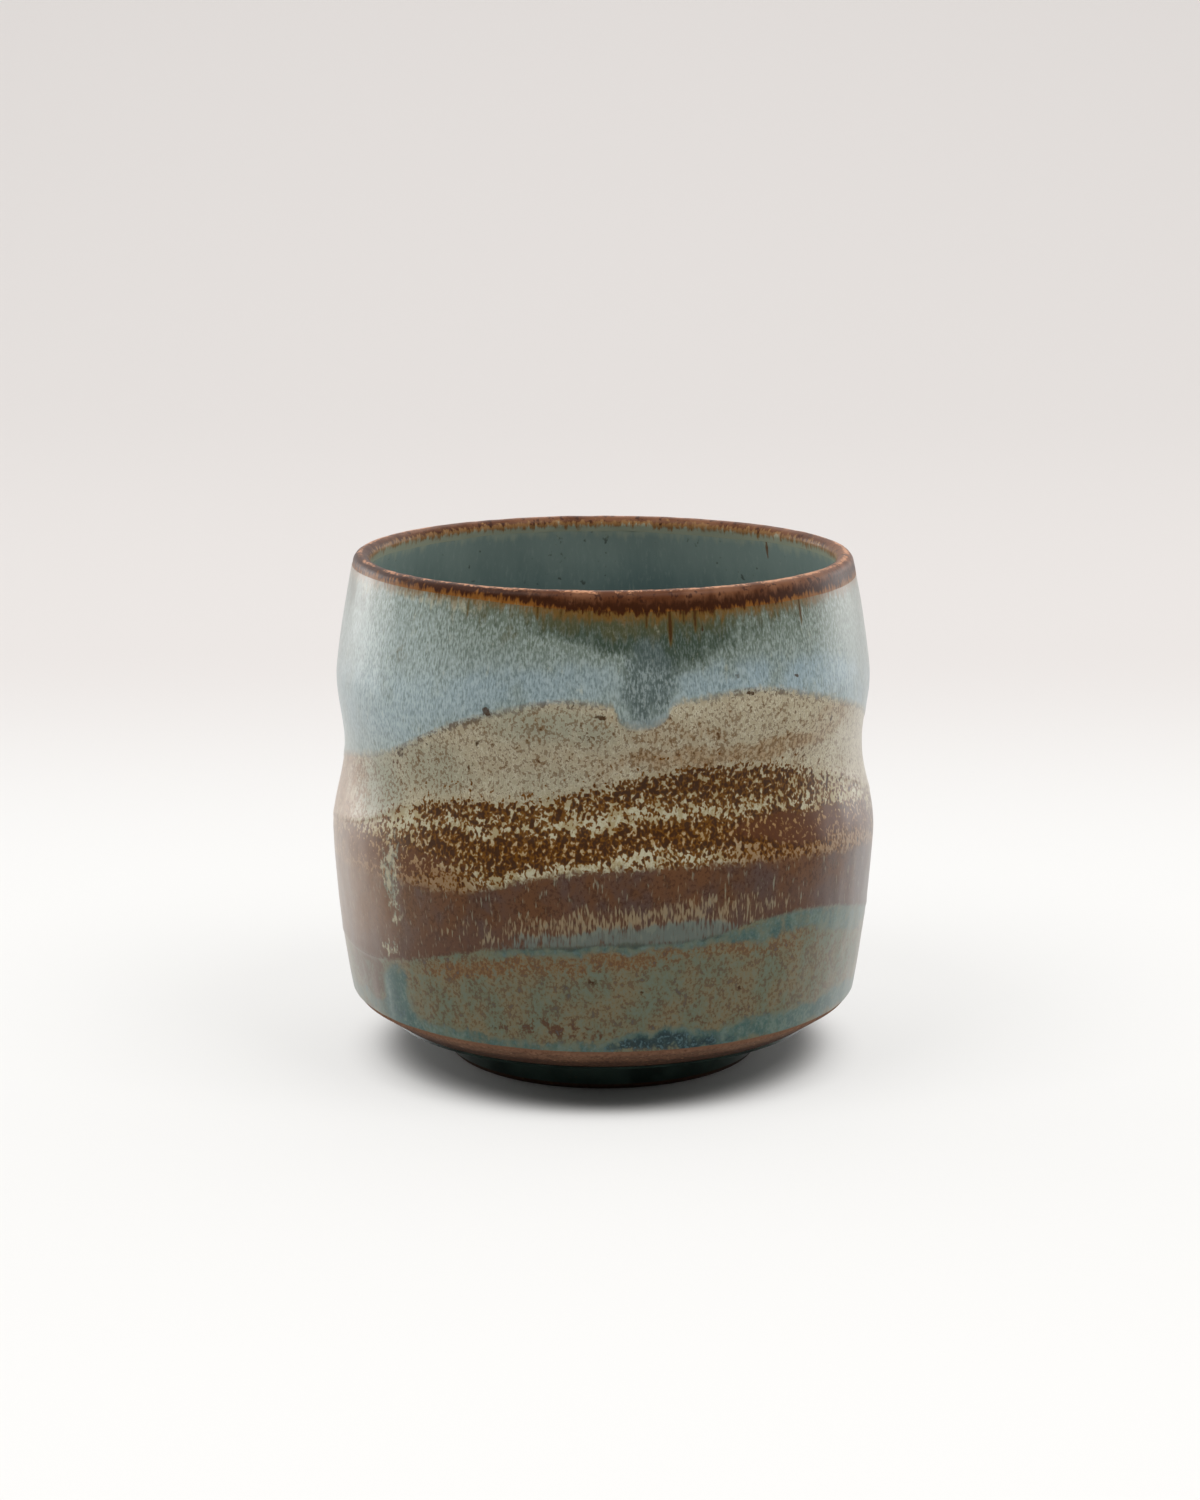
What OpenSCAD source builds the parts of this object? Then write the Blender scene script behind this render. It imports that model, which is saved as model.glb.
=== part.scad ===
// Squat wheel-thrown tea cup without a handle. The clay is one trimmed pot, and each glaze on it
// is its own fired coat. Millimetres, +Z up, origin at the centre of the resting face of the foot.
// The front of the cup faces -Y, and directions round it are degrees from there towards +X.

/* [Clay wall] */
// Height of the clay pot
cup_h = 82.1; // [76:0.1:90]
// Diameter of the barrel at the belly, before the waist is pressed in
belly_d = 87.7; // [82:0.1:94]
// Height of the belly, as a share of the height of the pot
belly_share = 0.543; // [0.48:0.001:0.6]
// How far the lip stands inside the belly
mouth_in = 4; // [2:0.1:6]
// How far the hip, where the wall turns under, stands inside the belly
hip_in = 3.15; // [2:0.05:5]
// Height of the hip
hip_z = 10.5; // [9:0.1:13]
// Wall thickness just above the hip
wall_t = 4.6; // [3.6:0.1:6]
// Thickness of the clay at the lip
lip_t = 2; // [1.6:0.1:3]

/* [Pressed waist] */
// Height of the waist, as a share of the height of the pot
waist_share = 0.624; // [0.58:0.001:0.66]
// How deep the waist is pressed into the barrel
waist_depth = 2.1; // [0.8:0.1:3]
// Reach of the waist above and below its deepest line, as a share of the height of the pot
waist_reach_share = 0.169; // [0.12:0.001:0.2]
// Share of the depth of the waist that shows inside the cup
inside_waist_share = 0.6; // [0:0.1:1]

/* [Inside] */
// Height of the floor of the cup above the table
floor_z = 10.2; // [9.6:0.1:13]
// Radius where the floor sweeps up into the wall
floor_sweep = 14; // [8:0.5:20]
// How far the floor rises from its middle to the sweep
floor_dish = 0.8; // [0:0.1:1.5]
// Height of the throwing rings left by the fingers
ring_h = 0.22; // [0:0.01:0.4]
// Spacing of the throwing rings
ring_pitch = 7.5; // [6:0.1:10]
// Height where the throwing rings have been smoothed away, as a share of the height of the pot
ring_end_share = 0.8; // [0.6:0.01:0.9]

/* [Trimmed foot] */
// How far the foot stands inside the trimmed edge
foot_in = 9.8; // [8:0.1:12]
// Width of the foot ring
foot_ring_w = 4.6; // [3.5:0.1:6]
// Height of the foot up to the underside of the cup
foot_h = 5.3; // [5:0.1:5.8]
// How much wider the foot is at its root than at the table
foot_spread = 0.6; // [0:0.1:1.5]
// Radius in the corner between the foot and the underside
foot_root = 1.2; // [0.6:0.1:1.6]
// Bevel on both edges of the resting face
foot_bevel = 0.5; // [0.2:0.1:0.8]
// Height of the ceiling inside the foot ring
recess_h = 5.2; // [4.9:0.1:5.6]
// How far the ceiling inside the foot ring rises to its middle
recess_dome = 0.6; // [0:0.1:1]
// How far the sharp edge left by trimming stands inside the hip
trim_in = 5.4; // [4:0.1:7]
// Height of the trimmed edge
trim_z = 6.9; // [6.2:0.1:7.6]
// Radius of the rounded hip
hip_round = 0.9; // [0.4:0.1:1.2]

/* [Glaze thickness] */
// Celadon lining inside the cup
liner_t = 0.4; // [0.3:0.05:0.6]
// Iron coat over the lip
rim_t = 0.4; // [0.3:0.05:0.6]
// Blue-grey coat below the lip
upper_t = 0.5; // [0.35:0.05:0.7]
// Oatmeal coat round the waist
oatmeal_t = 0.45; // [0.35:0.05:0.7]
// Mottled brown and cream coat
mottled_t = 0.45; // [0.35:0.05:0.7]
// Smooth iron-brown coat
iron_t = 0.4; // [0.35:0.05:0.7]
// Green coat above the hip
lower_t = 0.45; // [0.35:0.05:0.7]
// Dark green coat under the cup and round the foot
foot_t = 0.3; // [0.2:0.05:0.4]
// Height over which the glaze rolls off at its lowest edge
edge_roll = 0.5; // [0.3:0.05:0.8]

/* [Glaze lines] */
// How far the iron coat comes down outside the lip
rim_band = 2.4; // [1.8:0.1:5]
// How far the iron coat comes down inside the lip
rim_inner_band = 2.1; // [1.8:0.1:5]
// Height of the lowest edge of the green coat above the table
glaze_foot_line_z = 10.8; // [10.6:0.1:13]
// Bare height left at the bottom of the foot
bare_foot_h = 1; // [0.6:0.1:2]
// Highest point of the blue-grey coat's lower line, as a share of the glazed height of the wall
upper_high_share = 0.812; // [0.75:0.001:0.9]
// Lowest point of this line
upper_low_share = 0.349; // [0.3:0.001:0.45]
// Highest point of the mottled coat's upper line
mottled_high_share = 0.635; // [0.58:0.001:0.7]
// Lowest point of this line
mottled_low_share = 0.241; // [0.235:0.001:0.29]
// Highest point of the iron-brown coat's upper line
iron_high_share = 0.437; // [0.38:0.001:0.5]
// Lowest point of this line
iron_low_share = 0.222; // [0.16:0.001:0.225]
// Highest point of the green coat's upper line
lower_high_share = 0.289; // [0.24:0.001:0.34]
// Lowest point of this line
lower_low_share = 0.03; // [0.02:0.001:0.1]
// Direction in which the three upper lines climb, from the front
dip_turn = 17; // [-30:1:60]
// Direction in which the lowest line climbs, from the front
lower_dip_turn = 27; // [-30:1:60]

/* [Runs of thick glaze] */
// Direction of the blue-grey drip, from the front
drip_turn = 7; // [-60:1:60]
// Height of the tip of this drip, as a share of the glazed height of the wall
drip_tip_share = 0.746; // [0.68:0.001:0.78]
// Width of this drip
drip_w = 6.4; // [4:0.1:9]
// Direction of the teal run, from the front
teal_turn = -50; // [-80:1:-30]
// Height of the top of the teal run, as a share of the glazed height of the wall
teal_top_share = 0.139; // [0.1:0.001:0.16]
// Width of the teal run
teal_w = 6.6; // [4:0.1:9]
// How far the teal run stands out of the coat round it
teal_rise = 0.25; // [0.1:0.05:0.4]

/* [Hidden] */
$fn = 120;
wall_steps = 30;
inner_steps = 64;
sweep_steps = 9;
lip_steps = 12;
fillet_steps = 5;
dome_steps = 5;
bead_steps = 4;

belly_r = belly_d / 2;
belly_z = cup_h * belly_share;
mouth_r = belly_r - mouth_in;
hip_r = belly_r - hip_in;
waist_z = cup_h * waist_share;
waist_reach = cup_h * waist_reach_share;
ring_end_z = cup_h * ring_end_share;
trim_r = hip_r - trim_in;
foot_r = trim_r - foot_in;
recess_r = foot_r - foot_ring_w;
lip_r = lip_t / 2;
lip_z = cup_h - lip_r;
wall_foot_z = hip_z + hip_round;
sweep_z = floor_z + floor_dish + floor_sweep;
rim_line_z = cup_h - rim_band;
rim_inner_line_z = cup_h - rim_inner_band;
glazed_h = rim_line_z - glaze_foot_line_z;
drip_tip_z = glaze_foot_line_z + glazed_h * drip_tip_share;
teal_top_z = glaze_foot_line_z + glazed_h * teal_top_share;
span = belly_d + cup_h;

// Barrel of the pot: a flat curve from the hip to the belly, and another from there to the lip
function barrel(z) =
    z > belly_z
    ? belly_r - (belly_r - mouth_r) * pow((z - belly_z) / (lip_z - belly_z), 2)
    : belly_r - (belly_r - hip_r) * pow((belly_z - z) / (belly_z - hip_z), 2);

// Depth of the pressed waist, a smooth hollow that fades out at its reach
function waist(z) =
    abs(z - waist_z) < waist_reach
    ? waist_depth * (1 + cos(180 * (z - waist_z) / waist_reach)) / 2
    : 0;

function outer_r(z) = barrel(z) - waist(z);

// The wall thins evenly from the hip to the lip
function wall(z) = wall_t + (lip_t - wall_t) * (z - hip_z) / (lip_z - hip_z);

// Throwing rings fade in above the floor and out towards the lip
function rings(z) =
    z > floor_z && z < ring_end_z
    ? ring_h * sin(360 * (z - floor_z) / ring_pitch)
      * sin(180 * (z - floor_z) / (ring_end_z - floor_z))
    : 0;

function inner_r(z) = barrel(z) - inside_waist_share * waist(z) - wall(z) + rings(z);

// Unit normal of a line of points at point i, to the right of the way along it
function normal(pts, i) =
    let (a = pts[max(i - 1, 0)],
         b = pts[min(i + 1, len(pts) - 1)],
         d = b - a)
    [d[1], -d[0]] / norm(d);

// A coat ends level where the clay stands up and upright where it lies flat
function end_step(n) = abs(n[0]) > abs(n[1]) ? [sign(n[0]), 0] : [0, sign(n[1])];

// A line of points moved out of the clay by the thickness of a coat
function coated(pts, t) =
    let (last = len(pts) - 1)
    [for (i = [0 : last])
        let (n = normal(pts, i)) pts[i] + t * (i == 0 || i == last ? end_step(n) : n)];

function reversed(pts) = [for (i = [len(pts) - 1 : -1 : 0]) pts[i]];

function arc(c, r, from, to, steps) =
    [for (i = [0 : steps]) let (a = from + (to - from) * i / steps) c + r * [cos(a), sin(a)]];

// Round for the corner b between the lines from a and to c
function rounded(a, b, c, r) =
    let (u = (a - b) / norm(a - b),
         v = (c - b) / norm(c - b),
         half = acos(u * v) / 2,
         middle = b + (u + v) / norm(u + v) * r / sin(half),
         start = b + u * r / tan(half) - middle,
         end = b + v * r / tan(half) - middle,
         from = atan2(start[1], start[0]),
         turn = atan2(end[1], end[0]) - from,
         short = turn > 180 ? turn - 360 : turn < -180 ? turn + 360 : turn)
    arc(middle, r, from, from + short, fillet_steps);

// Clay outline, from the middle of the recess round the foot, wall and lip to the floor
recess_line = [for (i = [0 : dome_steps - 1])
    let (r = (recess_r - foot_root) * i / dome_steps)
    [r, recess_h + recess_dome * (1 - pow(r / recess_r, 2))]];

recess_corner = rounded([0, recess_h], [recess_r, recess_h], [recess_r, 0], foot_root);

foot_inner_line = concat(recess_line, recess_corner, [[recess_r, foot_bevel]]);

foot_rest_line = [[recess_r + foot_bevel, 0], [foot_r - foot_bevel, 0]];

foot_root_corner = rounded(
    [foot_r, foot_bevel], [foot_r + foot_spread, foot_h], [trim_r, trim_z], foot_root);

// Radius of the outside of the foot, which widens evenly up to its root
function foot_side_r(z) = foot_r + foot_spread * (z - foot_bevel) / (foot_h - foot_bevel);

foot_outer_line = concat([[foot_r, foot_bevel]], foot_root_corner, [[trim_r, trim_z]]);

hip_corner = rounded(
    [trim_r, trim_z], [hip_r, hip_z], [outer_r(wall_foot_z), wall_foot_z], hip_round);

wall_line = [for (i = [0 : wall_steps])
    let (z = wall_foot_z + (lip_z - wall_foot_z) * i / wall_steps) [outer_r(z), z]];

lip_arc = arc([outer_r(lip_z) - lip_r, lip_z], lip_r, 0, 180, lip_steps);
lip_line = [for (i = [1 : lip_steps - 1]) lip_arc[i]];

inner_wall_line = [for (i = [0 : inner_steps])
    let (z = lip_z + (sweep_z - lip_z) * i / inner_steps) [inner_r(z), z]];

// The inner wall carries on down while a quarter circle is taken off it, and the dished floor
// starts where that circle ends
sweep_line = [for (i = [1 : sweep_steps])
    let (a = 90 * i / sweep_steps, z = sweep_z - floor_sweep * sin(a))
    [inner_r(z) - floor_sweep * (1 - cos(a)), z]];

flat_r = sweep_line[sweep_steps - 1][0];

floor_line = [for (i = [1 : dome_steps])
    let (share = 1 - i / dome_steps) [flat_r * share, floor_z + floor_dish * pow(share, 2)]];

inner_line = concat(inner_wall_line, sweep_line, floor_line);

clay_outline = concat(
    foot_inner_line, foot_rest_line, foot_outer_line, hip_corner,
    wall_line, lip_line, inner_line);

// The part of a line above a height, and the part below it
function above(pts, z) = [for (p = pts) if (p[1] > z) p];
function below(pts, z) = [for (p = pts) if (p[1] < z) p];

// Where the iron coat of the lip ends inside the cup, and the lining starts
rim_inner_start = [inner_r(rim_inner_line_z), rim_inner_line_z];

// Closed outline of a coat t thick that lies on a line of the clay
function coat_outline(pts, t) = concat(coated(pts, t), reversed(pts));

// The outer wall from the glaze's lowest edge up, with its thickness rolled off at that edge
wall_coat_line = concat(
    [for (i = [0 : bead_steps]) let (z = glaze_foot_line_z + edge_roll * i / bead_steps)
        [outer_r(z), z]],
    [for (i = [1 : wall_steps])
        let (foot = glaze_foot_line_z + edge_roll,
             z = foot + (rim_line_z - foot) * i / wall_steps)
        [outer_r(z), z]]);

function rolled(z, t) =
    let (up = min(max((z - glaze_foot_line_z) / edge_roll, 0), 1)) t * sqrt(1 - pow(1 - up, 2));

function wall_coat_outline(t) = concat(
    [for (p = wall_coat_line) p + [rolled(p[1], t), 0]], reversed(wall_coat_line));

module turned(outline) {
    rotate_extrude()
        polygon(outline);
}

// Everything above the surface of a dip, which lies tilted across the cup and leaves a line
// on the wall that runs between a highest and a lowest point
module over_dip(high_share, low_share, turn) {
    middle_z = glaze_foot_line_z + glazed_h * (high_share + low_share) / 2;
    climb = glazed_h * (high_share - low_share) / 2;
    translate([0, 0, middle_z])
        rotate([0, 0, turn])
            rotate([-atan2(climb, belly_r), 0, 0])
                translate([-span, -span, 0])
                    cube(2 * span);
}

// Upright tongue with round ends through the wall on one side of the cup
module tongue(turn, w, low_z, high_z) {
    rotate([0, 0, turn])
        rotate([90, 0, 0])
            linear_extrude(height = span) {
                translate([0, low_z + w / 2])
                    circle(d = w);
                translate([-w / 2, low_z + w / 2])
                    square([w, high_z - low_z - w]);
                translate([0, high_z - w / 2])
                    circle(d = w);
            }
}

// Reach of each coat, with all that lies above it
module upper_reach() {
    over_dip(upper_high_share, upper_low_share, dip_turn);
    tongue(drip_turn, drip_w, drip_tip_z, rim_line_z);
}

module oatmeal_reach() {
    upper_reach();
    over_dip(mottled_high_share, mottled_low_share, dip_turn);
}

module mottled_reach() {
    oatmeal_reach();
    over_dip(iron_high_share, iron_low_share, dip_turn);
}

module iron_reach() {
    mottled_reach();
    over_dip(lower_high_share, lower_low_share, lower_dip_turn);
}

module stoneware_body() {
    color([0.42, 0.31, 0.24])
        turned(clay_outline);
}

module liner_glaze() {
    color([0.33, 0.42, 0.38])
        turned(coat_outline(
            concat([rim_inner_start], below(inner_line, rim_inner_line_z)), liner_t));
}

module rim_glaze() {
    color([0.32, 0.14, 0.07])
        turned(coat_outline(
            concat([[outer_r(rim_line_z), rim_line_z]], above(wall_line, rim_line_z), lip_line,
                   above(inner_line, rim_inner_line_z), [rim_inner_start]),
            rim_t));
}

module upper_glaze() {
    color([0.55, 0.62, 0.63])
        intersection() {
            turned(wall_coat_outline(upper_t));
            upper_reach();
        }
}

module oatmeal_glaze() {
    color([0.66, 0.60, 0.50])
        difference() {
            intersection() {
                turned(wall_coat_outline(oatmeal_t));
                oatmeal_reach();
            }
            upper_reach();
        }
}

module mottled_glaze() {
    color([0.36, 0.22, 0.10])
        difference() {
            intersection() {
                turned(wall_coat_outline(mottled_t));
                mottled_reach();
            }
            oatmeal_reach();
        }
}

module iron_glaze() {
    color([0.35, 0.23, 0.20])
        difference() {
            intersection() {
                turned(wall_coat_outline(iron_t));
                iron_reach();
            }
            mottled_reach();
        }
}

module lower_glaze() {
    color([0.36, 0.40, 0.36])
        difference() {
            union() {
                turned(wall_coat_outline(lower_t));
                intersection() {
                    turned(wall_coat_outline(lower_t + teal_rise));
                    tongue(teal_turn, teal_w, glaze_foot_line_z - teal_w / 2, teal_top_z);
                }
            }
            iron_reach();
        }
}

module foot_glaze() {
    color([0.13, 0.19, 0.16])
        turned(coat_outline(
            concat([[foot_side_r(bare_foot_h), bare_foot_h]], foot_root_corner,
                   [[trim_r, trim_z]]),
            foot_t));
}

module recess_glaze() {
    color([0.13, 0.19, 0.16])
        turned(coat_outline(
            concat(recess_line, recess_corner, [[recess_r, bare_foot_h]]), foot_t));
}

stoneware_body();
liner_glaze();
rim_glaze();
upper_glaze();
oatmeal_glaze();
mottled_glaze();
iron_glaze();
lower_glaze();
foot_glaze();
recess_glaze();
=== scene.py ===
import math

import bpy
import numpy as np
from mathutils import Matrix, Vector, noise


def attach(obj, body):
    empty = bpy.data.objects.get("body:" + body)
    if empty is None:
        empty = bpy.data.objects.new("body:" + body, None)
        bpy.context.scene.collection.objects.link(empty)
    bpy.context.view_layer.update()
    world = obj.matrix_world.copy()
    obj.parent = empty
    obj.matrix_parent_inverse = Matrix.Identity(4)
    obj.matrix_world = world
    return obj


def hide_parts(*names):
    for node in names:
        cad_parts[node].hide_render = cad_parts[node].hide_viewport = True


# A wheel-thrown stoneware tea cup with its glaze coats. The cup is worked out in millimetres and
# turned into metres where its meshes are made. The paper, lamps and camera are in metres.
# The front faces -Y, and a turn is in degrees round the cup from there towards +X.
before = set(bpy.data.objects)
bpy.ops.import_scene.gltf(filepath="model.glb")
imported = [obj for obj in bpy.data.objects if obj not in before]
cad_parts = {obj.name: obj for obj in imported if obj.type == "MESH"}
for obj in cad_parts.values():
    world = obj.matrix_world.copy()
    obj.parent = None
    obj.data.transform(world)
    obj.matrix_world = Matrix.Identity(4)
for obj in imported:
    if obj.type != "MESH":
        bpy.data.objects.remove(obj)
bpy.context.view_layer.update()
mm = 0.001

clay = {
    "height": 82.1,          # of the clay pot
    "bellyWidth": 87.7,      # the barrel before its waist is pressed in
    "bellyHeight": 44.58,
    "mouthWidth": 79.7,
    "hipWidth": 81.4,        # where the wall turns under
    "hipHeight": 10.5,
    "hipRound": 0.9,
    "wallAtHip": 4.6,
    "lip": 2.0,              # thickness at the lip
    "waistHeight": 51.23,
    "waistDepth": 2.1,
    "waistReach": 13.87,
    "waistInside": 0.6,      # share of the waist that shows inside
    "floorHeight": 10.2,
    "floorSweep": 14.0,
    "floorDish": 0.8,
    "ringHeight": 0.22,      # throwing rings inside
    "ringSpacing": 7.5,
    "ringTop": 65.7,
    "unevenness": 0.12,      # how far the hand-thrown wall wanders from true
    "unevennessSize": 26.0,
}

foot = {
    "width": 51.0,
    "ringWidth": 4.6,
    "height": 5.3,
    "spread": 0.6,
    "root": 1.2,
    "bevel": 0.5,
    "recessHeight": 5.2,
    "recessDome": 0.6,
    "trimWidth": 70.6,
    "trimHeight": 6.9,
    "bareHeight": 1.0,
}

lipRound = clay["lip"] / 2
lipHeight = clay["height"] - lipRound
sweepTop = clay["floorHeight"] + clay["floorDish"] + clay["floorSweep"]


def between(value, low, high):
    # 0 below low, 1 above high, smooth in between
    t = np.clip((np.asarray(value, float) - low) / (high - low), 0, 1)
    return t * t * (3 - 2 * t)


def atTurn(turn, radius, z):
    # Points at these turns, radii and heights
    a = np.radians(turn)
    return np.c_[radius * np.sin(a), -radius * np.cos(a), z]


def barrel(z):
    up = (z - clay["bellyHeight"]) / (lipHeight - clay["bellyHeight"])
    down = (clay["bellyHeight"] - z) / (clay["bellyHeight"] - clay["hipHeight"])
    narrowing = np.where(z > clay["bellyHeight"],
                         (clay["bellyWidth"] - clay["mouthWidth"]) / 2 * up ** 2,
                         (clay["bellyWidth"] - clay["hipWidth"]) / 2 * down ** 2)
    return clay["bellyWidth"] / 2 - narrowing


def waist(z):
    reach = np.clip(abs(z - clay["waistHeight"]) / clay["waistReach"], 0, 1)
    return clay["waistDepth"] * (1 + np.cos(np.pi * reach)) / 2


def outerRadius(z):
    return barrel(z) - waist(z)


crestRadius = float(outerRadius(lipHeight)) - lipRound


def innerRadius(z):
    share = (z - clay["hipHeight"]) / (lipHeight - clay["hipHeight"])
    wall = clay["wallAtHip"] + (clay["lip"] - clay["wallAtHip"]) * share
    fade = np.clip((z - clay["floorHeight"]) / (clay["ringTop"] - clay["floorHeight"]), 0, 1)
    rings = clay["ringHeight"] * np.sin(np.pi * fade) * np.sin(
        2 * np.pi * (z - clay["floorHeight"]) / clay["ringSpacing"])
    return barrel(z) - clay["waistInside"] * waist(z) - wall + rings


def arcPoints(middle, radius, start, end, steps):
    angles = np.radians(np.linspace(start, end, steps + 1))
    return np.c_[middle[0] + radius * np.cos(angles), middle[1] + radius * np.sin(angles)]


def roundCorner(a, b, c, radius, steps=10):
    a, b, c = np.array(a, float), np.array(b, float), np.array(c, float)
    toA = (a - b) / np.linalg.norm(a - b)
    toC = (c - b) / np.linalg.norm(c - b)
    half = math.acos(toA @ toC) / 2
    middle = b + (toA + toC) / np.linalg.norm(toA + toC) * radius / math.sin(half)
    first = b + toA * radius / math.tan(half) - middle
    last = b + toC * radius / math.tan(half) - middle
    start = math.degrees(math.atan2(first[1], first[0]))
    swing = (math.degrees(math.atan2(last[1], last[0])) - start + 180) % 360 - 180
    return arcPoints(middle, radius, start, start + swing, steps)


def claySection():
    # Half section of the pot, from the middle of the recess round the foot, up the wall,
    # over the lip and down to the middle of the floor. Returns the line and where its parts start.
    footRadius = foot["width"] / 2
    recessRadius = footRadius - foot["ringWidth"]
    trim = (foot["trimWidth"] / 2, foot["trimHeight"])
    hip = (clay["hipWidth"] / 2, clay["hipHeight"])
    wallFoot = clay["hipHeight"] + clay["hipRound"]
    recess = np.linspace(0, recessRadius - foot["root"], 24)
    recessRise = foot["recessDome"] * (1 - (recess / recessRadius) ** 2)
    parts = {"recess": np.c_[recess, foot["recessHeight"] + recessRise]}
    parts["recessCorner"] = roundCorner((0, foot["recessHeight"]),
                                        (recessRadius, foot["recessHeight"]),
                                        (recessRadius, 0), foot["root"])
    parts["rest"] = np.array([(recessRadius, foot["bevel"]), (recessRadius + foot["bevel"], 0),
                              (footRadius - foot["bevel"], 0), (footRadius, foot["bevel"])])
    parts["underside"] = np.vstack([
        roundCorner((footRadius, foot["bevel"]),
                    (footRadius + foot["spread"], foot["height"]), trim, foot["root"]), [trim]])
    parts["hip"] = roundCorner(trim, hip, (outerRadius(wallFoot), wallFoot), clay["hipRound"])
    z = np.linspace(wallFoot, lipHeight, 300)
    parts["wall"] = np.c_[outerRadius(z), z]
    parts["lip"] = arcPoints((crestRadius, lipHeight), lipRound, 0, 180, 24)[1:-1]
    z = np.linspace(lipHeight, sweepTop, 300)
    parts["inside"] = np.c_[innerRadius(z), z]
    turn = np.radians(np.linspace(0, 90, 41)[1:])
    z = sweepTop - clay["floorSweep"] * np.sin(turn)
    parts["sweep"] = np.c_[innerRadius(z) - clay["floorSweep"] * (1 - np.cos(turn)), z]
    share = np.linspace(1, 0, 30)[1:]
    flat = parts["sweep"][-1, 0]
    parts["floor"] = np.c_[flat * share, clay["floorHeight"] + clay["floorDish"] * share ** 2]
    starts, count = {}, 0
    for name, points in parts.items():
        starts[name] = count
        count += len(points)
    return np.vstack(list(parts.values())), starts


sectionPoints, partStart = claySection()
sectionLength = np.r_[0, np.cumsum(np.linalg.norm(np.diff(sectionPoints, axis=0), axis=1))]
step = 0.1                   # the section again with points this far apart
evenLength = np.arange(0, sectionLength[-1], step)
evenRadius = np.interp(evenLength, sectionLength, sectionPoints[:, 0])
evenHeight = np.interp(evenLength, sectionLength, sectionPoints[:, 1])
slope = np.c_[np.gradient(evenRadius), np.gradient(evenHeight)]
slope /= np.linalg.norm(slope, axis=1)[:, None]
evenNormal = np.c_[slope[:, 1], -slope[:, 0]]

wallSpan = slice(partStart["wall"], partStart["lip"])
insideSpan = slice(partStart["inside"], partStart["sweep"])


def alongWall(z):
    # Length along the section at a height on the outer wall
    return np.interp(z, sectionPoints[wallSpan, 1], sectionLength[wallSpan])


def alongInside(z):
    return np.interp(-np.asarray(z), -sectionPoints[insideSpan, 1], sectionLength[insideSpan])


def lengthAt(part):
    return sectionLength[partStart[part]]


def sectionAt(lengths):
    # Radius and height at these lengths along the section
    return np.interp(lengths, evenLength, evenRadius), np.interp(lengths, evenLength, evenHeight)


def smoothNoise(points, size, seed):
    # Perlin noise with bumps of about this size in millimetres
    shift = Vector((17.3 * seed, 5.1 * seed, 9.7 * seed))
    return np.array([noise.noise(Vector(p) / size + shift) for p in points])


# Glaze lines: heights at listed turns, read off the photograph at the front and carried
# round the back as the tilted dips that left them would lie
glazeLines = {
    "rim": [
        (-165, 79.7), (-110, 80.3), (-60, 80.8), (-30, 80.6), (-14, 80.0), (4, 79.5), (24, 79.3),
        (50, 79.2), (75, 79.2), (120, 79.4)],
    "lip": [
        (-165, 80.2), (-110, 81.0), (-75, 81.7), (-45, 81.8), (-30, 81.7), (-20, 81.4),
        (-12, 80.6), (-6, 80.1), (4, 79.8), (24, 79.8), (35, 80.0), (50, 80.1), (75, 80.3),
        (120, 80.2)],
    "upper": [
        (-170, 35.2), (-120, 42.0), (-80, 50.7), (-50, 55.6), (-30, 62.0), (-10, 66.0),
        (3, 65.8), (18, 66.2), (32, 66.8), (60, 62.2), (90, 55.0), (130, 43.0)],
    "mottled": [
        (-170, 28.2), (-120, 33.0), (-80, 40.5), (-60, 43.0), (-40, 48.5), (-15, 50.6),
        (15, 55.0), (35, 54.8), (60, 50.0), (90, 43.0), (130, 34.0)],
    "iron": [
        (-170, 25.4), (-120, 29.0), (-80, 34.5), (-50, 35.8), (-30, 36.0), (-10, 39.9),
        (15, 41.0), (40, 40.0), (70, 37.5), (100, 33.0), (140, 27.2)],
    "lower": [
        (-170, 14.2), (-120, 17.0), (-80, 21.0), (-55, 21.4), (-40, 23.8), (-28, 26.4),
        (-20, 27.6), (0, 29.0), (20, 29.3), (35, 31.2), (50, 30.8), (70, 27.5), (100, 22.0),
        (140, 15.8)],
}

drip = {"turn": 7.0, "left": 5.6, "right": 7.8, "length": 3.3}    # widths in degrees
glazeFoot = {"height": 10.9, "waver": 0.22}


def curveThrough(points, turn):
    # Smooth curve round the cup through (turn, value) points
    turns = np.array([p[0] for p in points], float)
    values = np.array([p[1] for p in points], float)
    turns = np.r_[turns[-2:] - 360, turns, turns[:2] + 360]
    values = np.r_[values[-2:], values, values[:2]]
    rise = np.gradient(values, turns)
    turn = (np.asarray(turn, float) - turns[2]) % 360 + turns[2]
    i = np.clip(np.searchsorted(turns, turn, side="right") - 1, 0, len(turns) - 2)
    gap = turns[i + 1] - turns[i]
    t = (turn - turns[i]) / gap
    return ((2 * t ** 3 - 3 * t ** 2 + 1) * values[i] + (t ** 3 - 2 * t ** 2 + t) * gap * rise[i]
            + (3 * t ** 2 - 2 * t ** 3) * values[i + 1] + (t ** 3 - t ** 2) * gap * rise[i + 1])


def glazeLine(name):
    # The height of a glaze line as a function of the turn
    return lambda turn: curveThrough(glazeLines[name], turn)


rimEdge = glazeLine("rim")
lipEdge = glazeLine("lip")
mottledEdge = glazeLine("mottled")
ironEdge = glazeLine("iron")
lowerEdge = glazeLine("lower")


def dripAway(turn):
    # 0 in the middle of the drip, 1 at its sides and beyond
    side = np.where(turn < drip["turn"], drip["left"], drip["right"])
    return np.clip(abs(turn - drip["turn"]) / side, 0, 1)


def upperEdge(turn):
    away = dripAway(turn)
    hang = (1 - away ** 3) * (1 - between(away, 0.7, 1))
    return curveThrough(glazeLines["upper"], turn) - drip["length"] * hang


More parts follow.
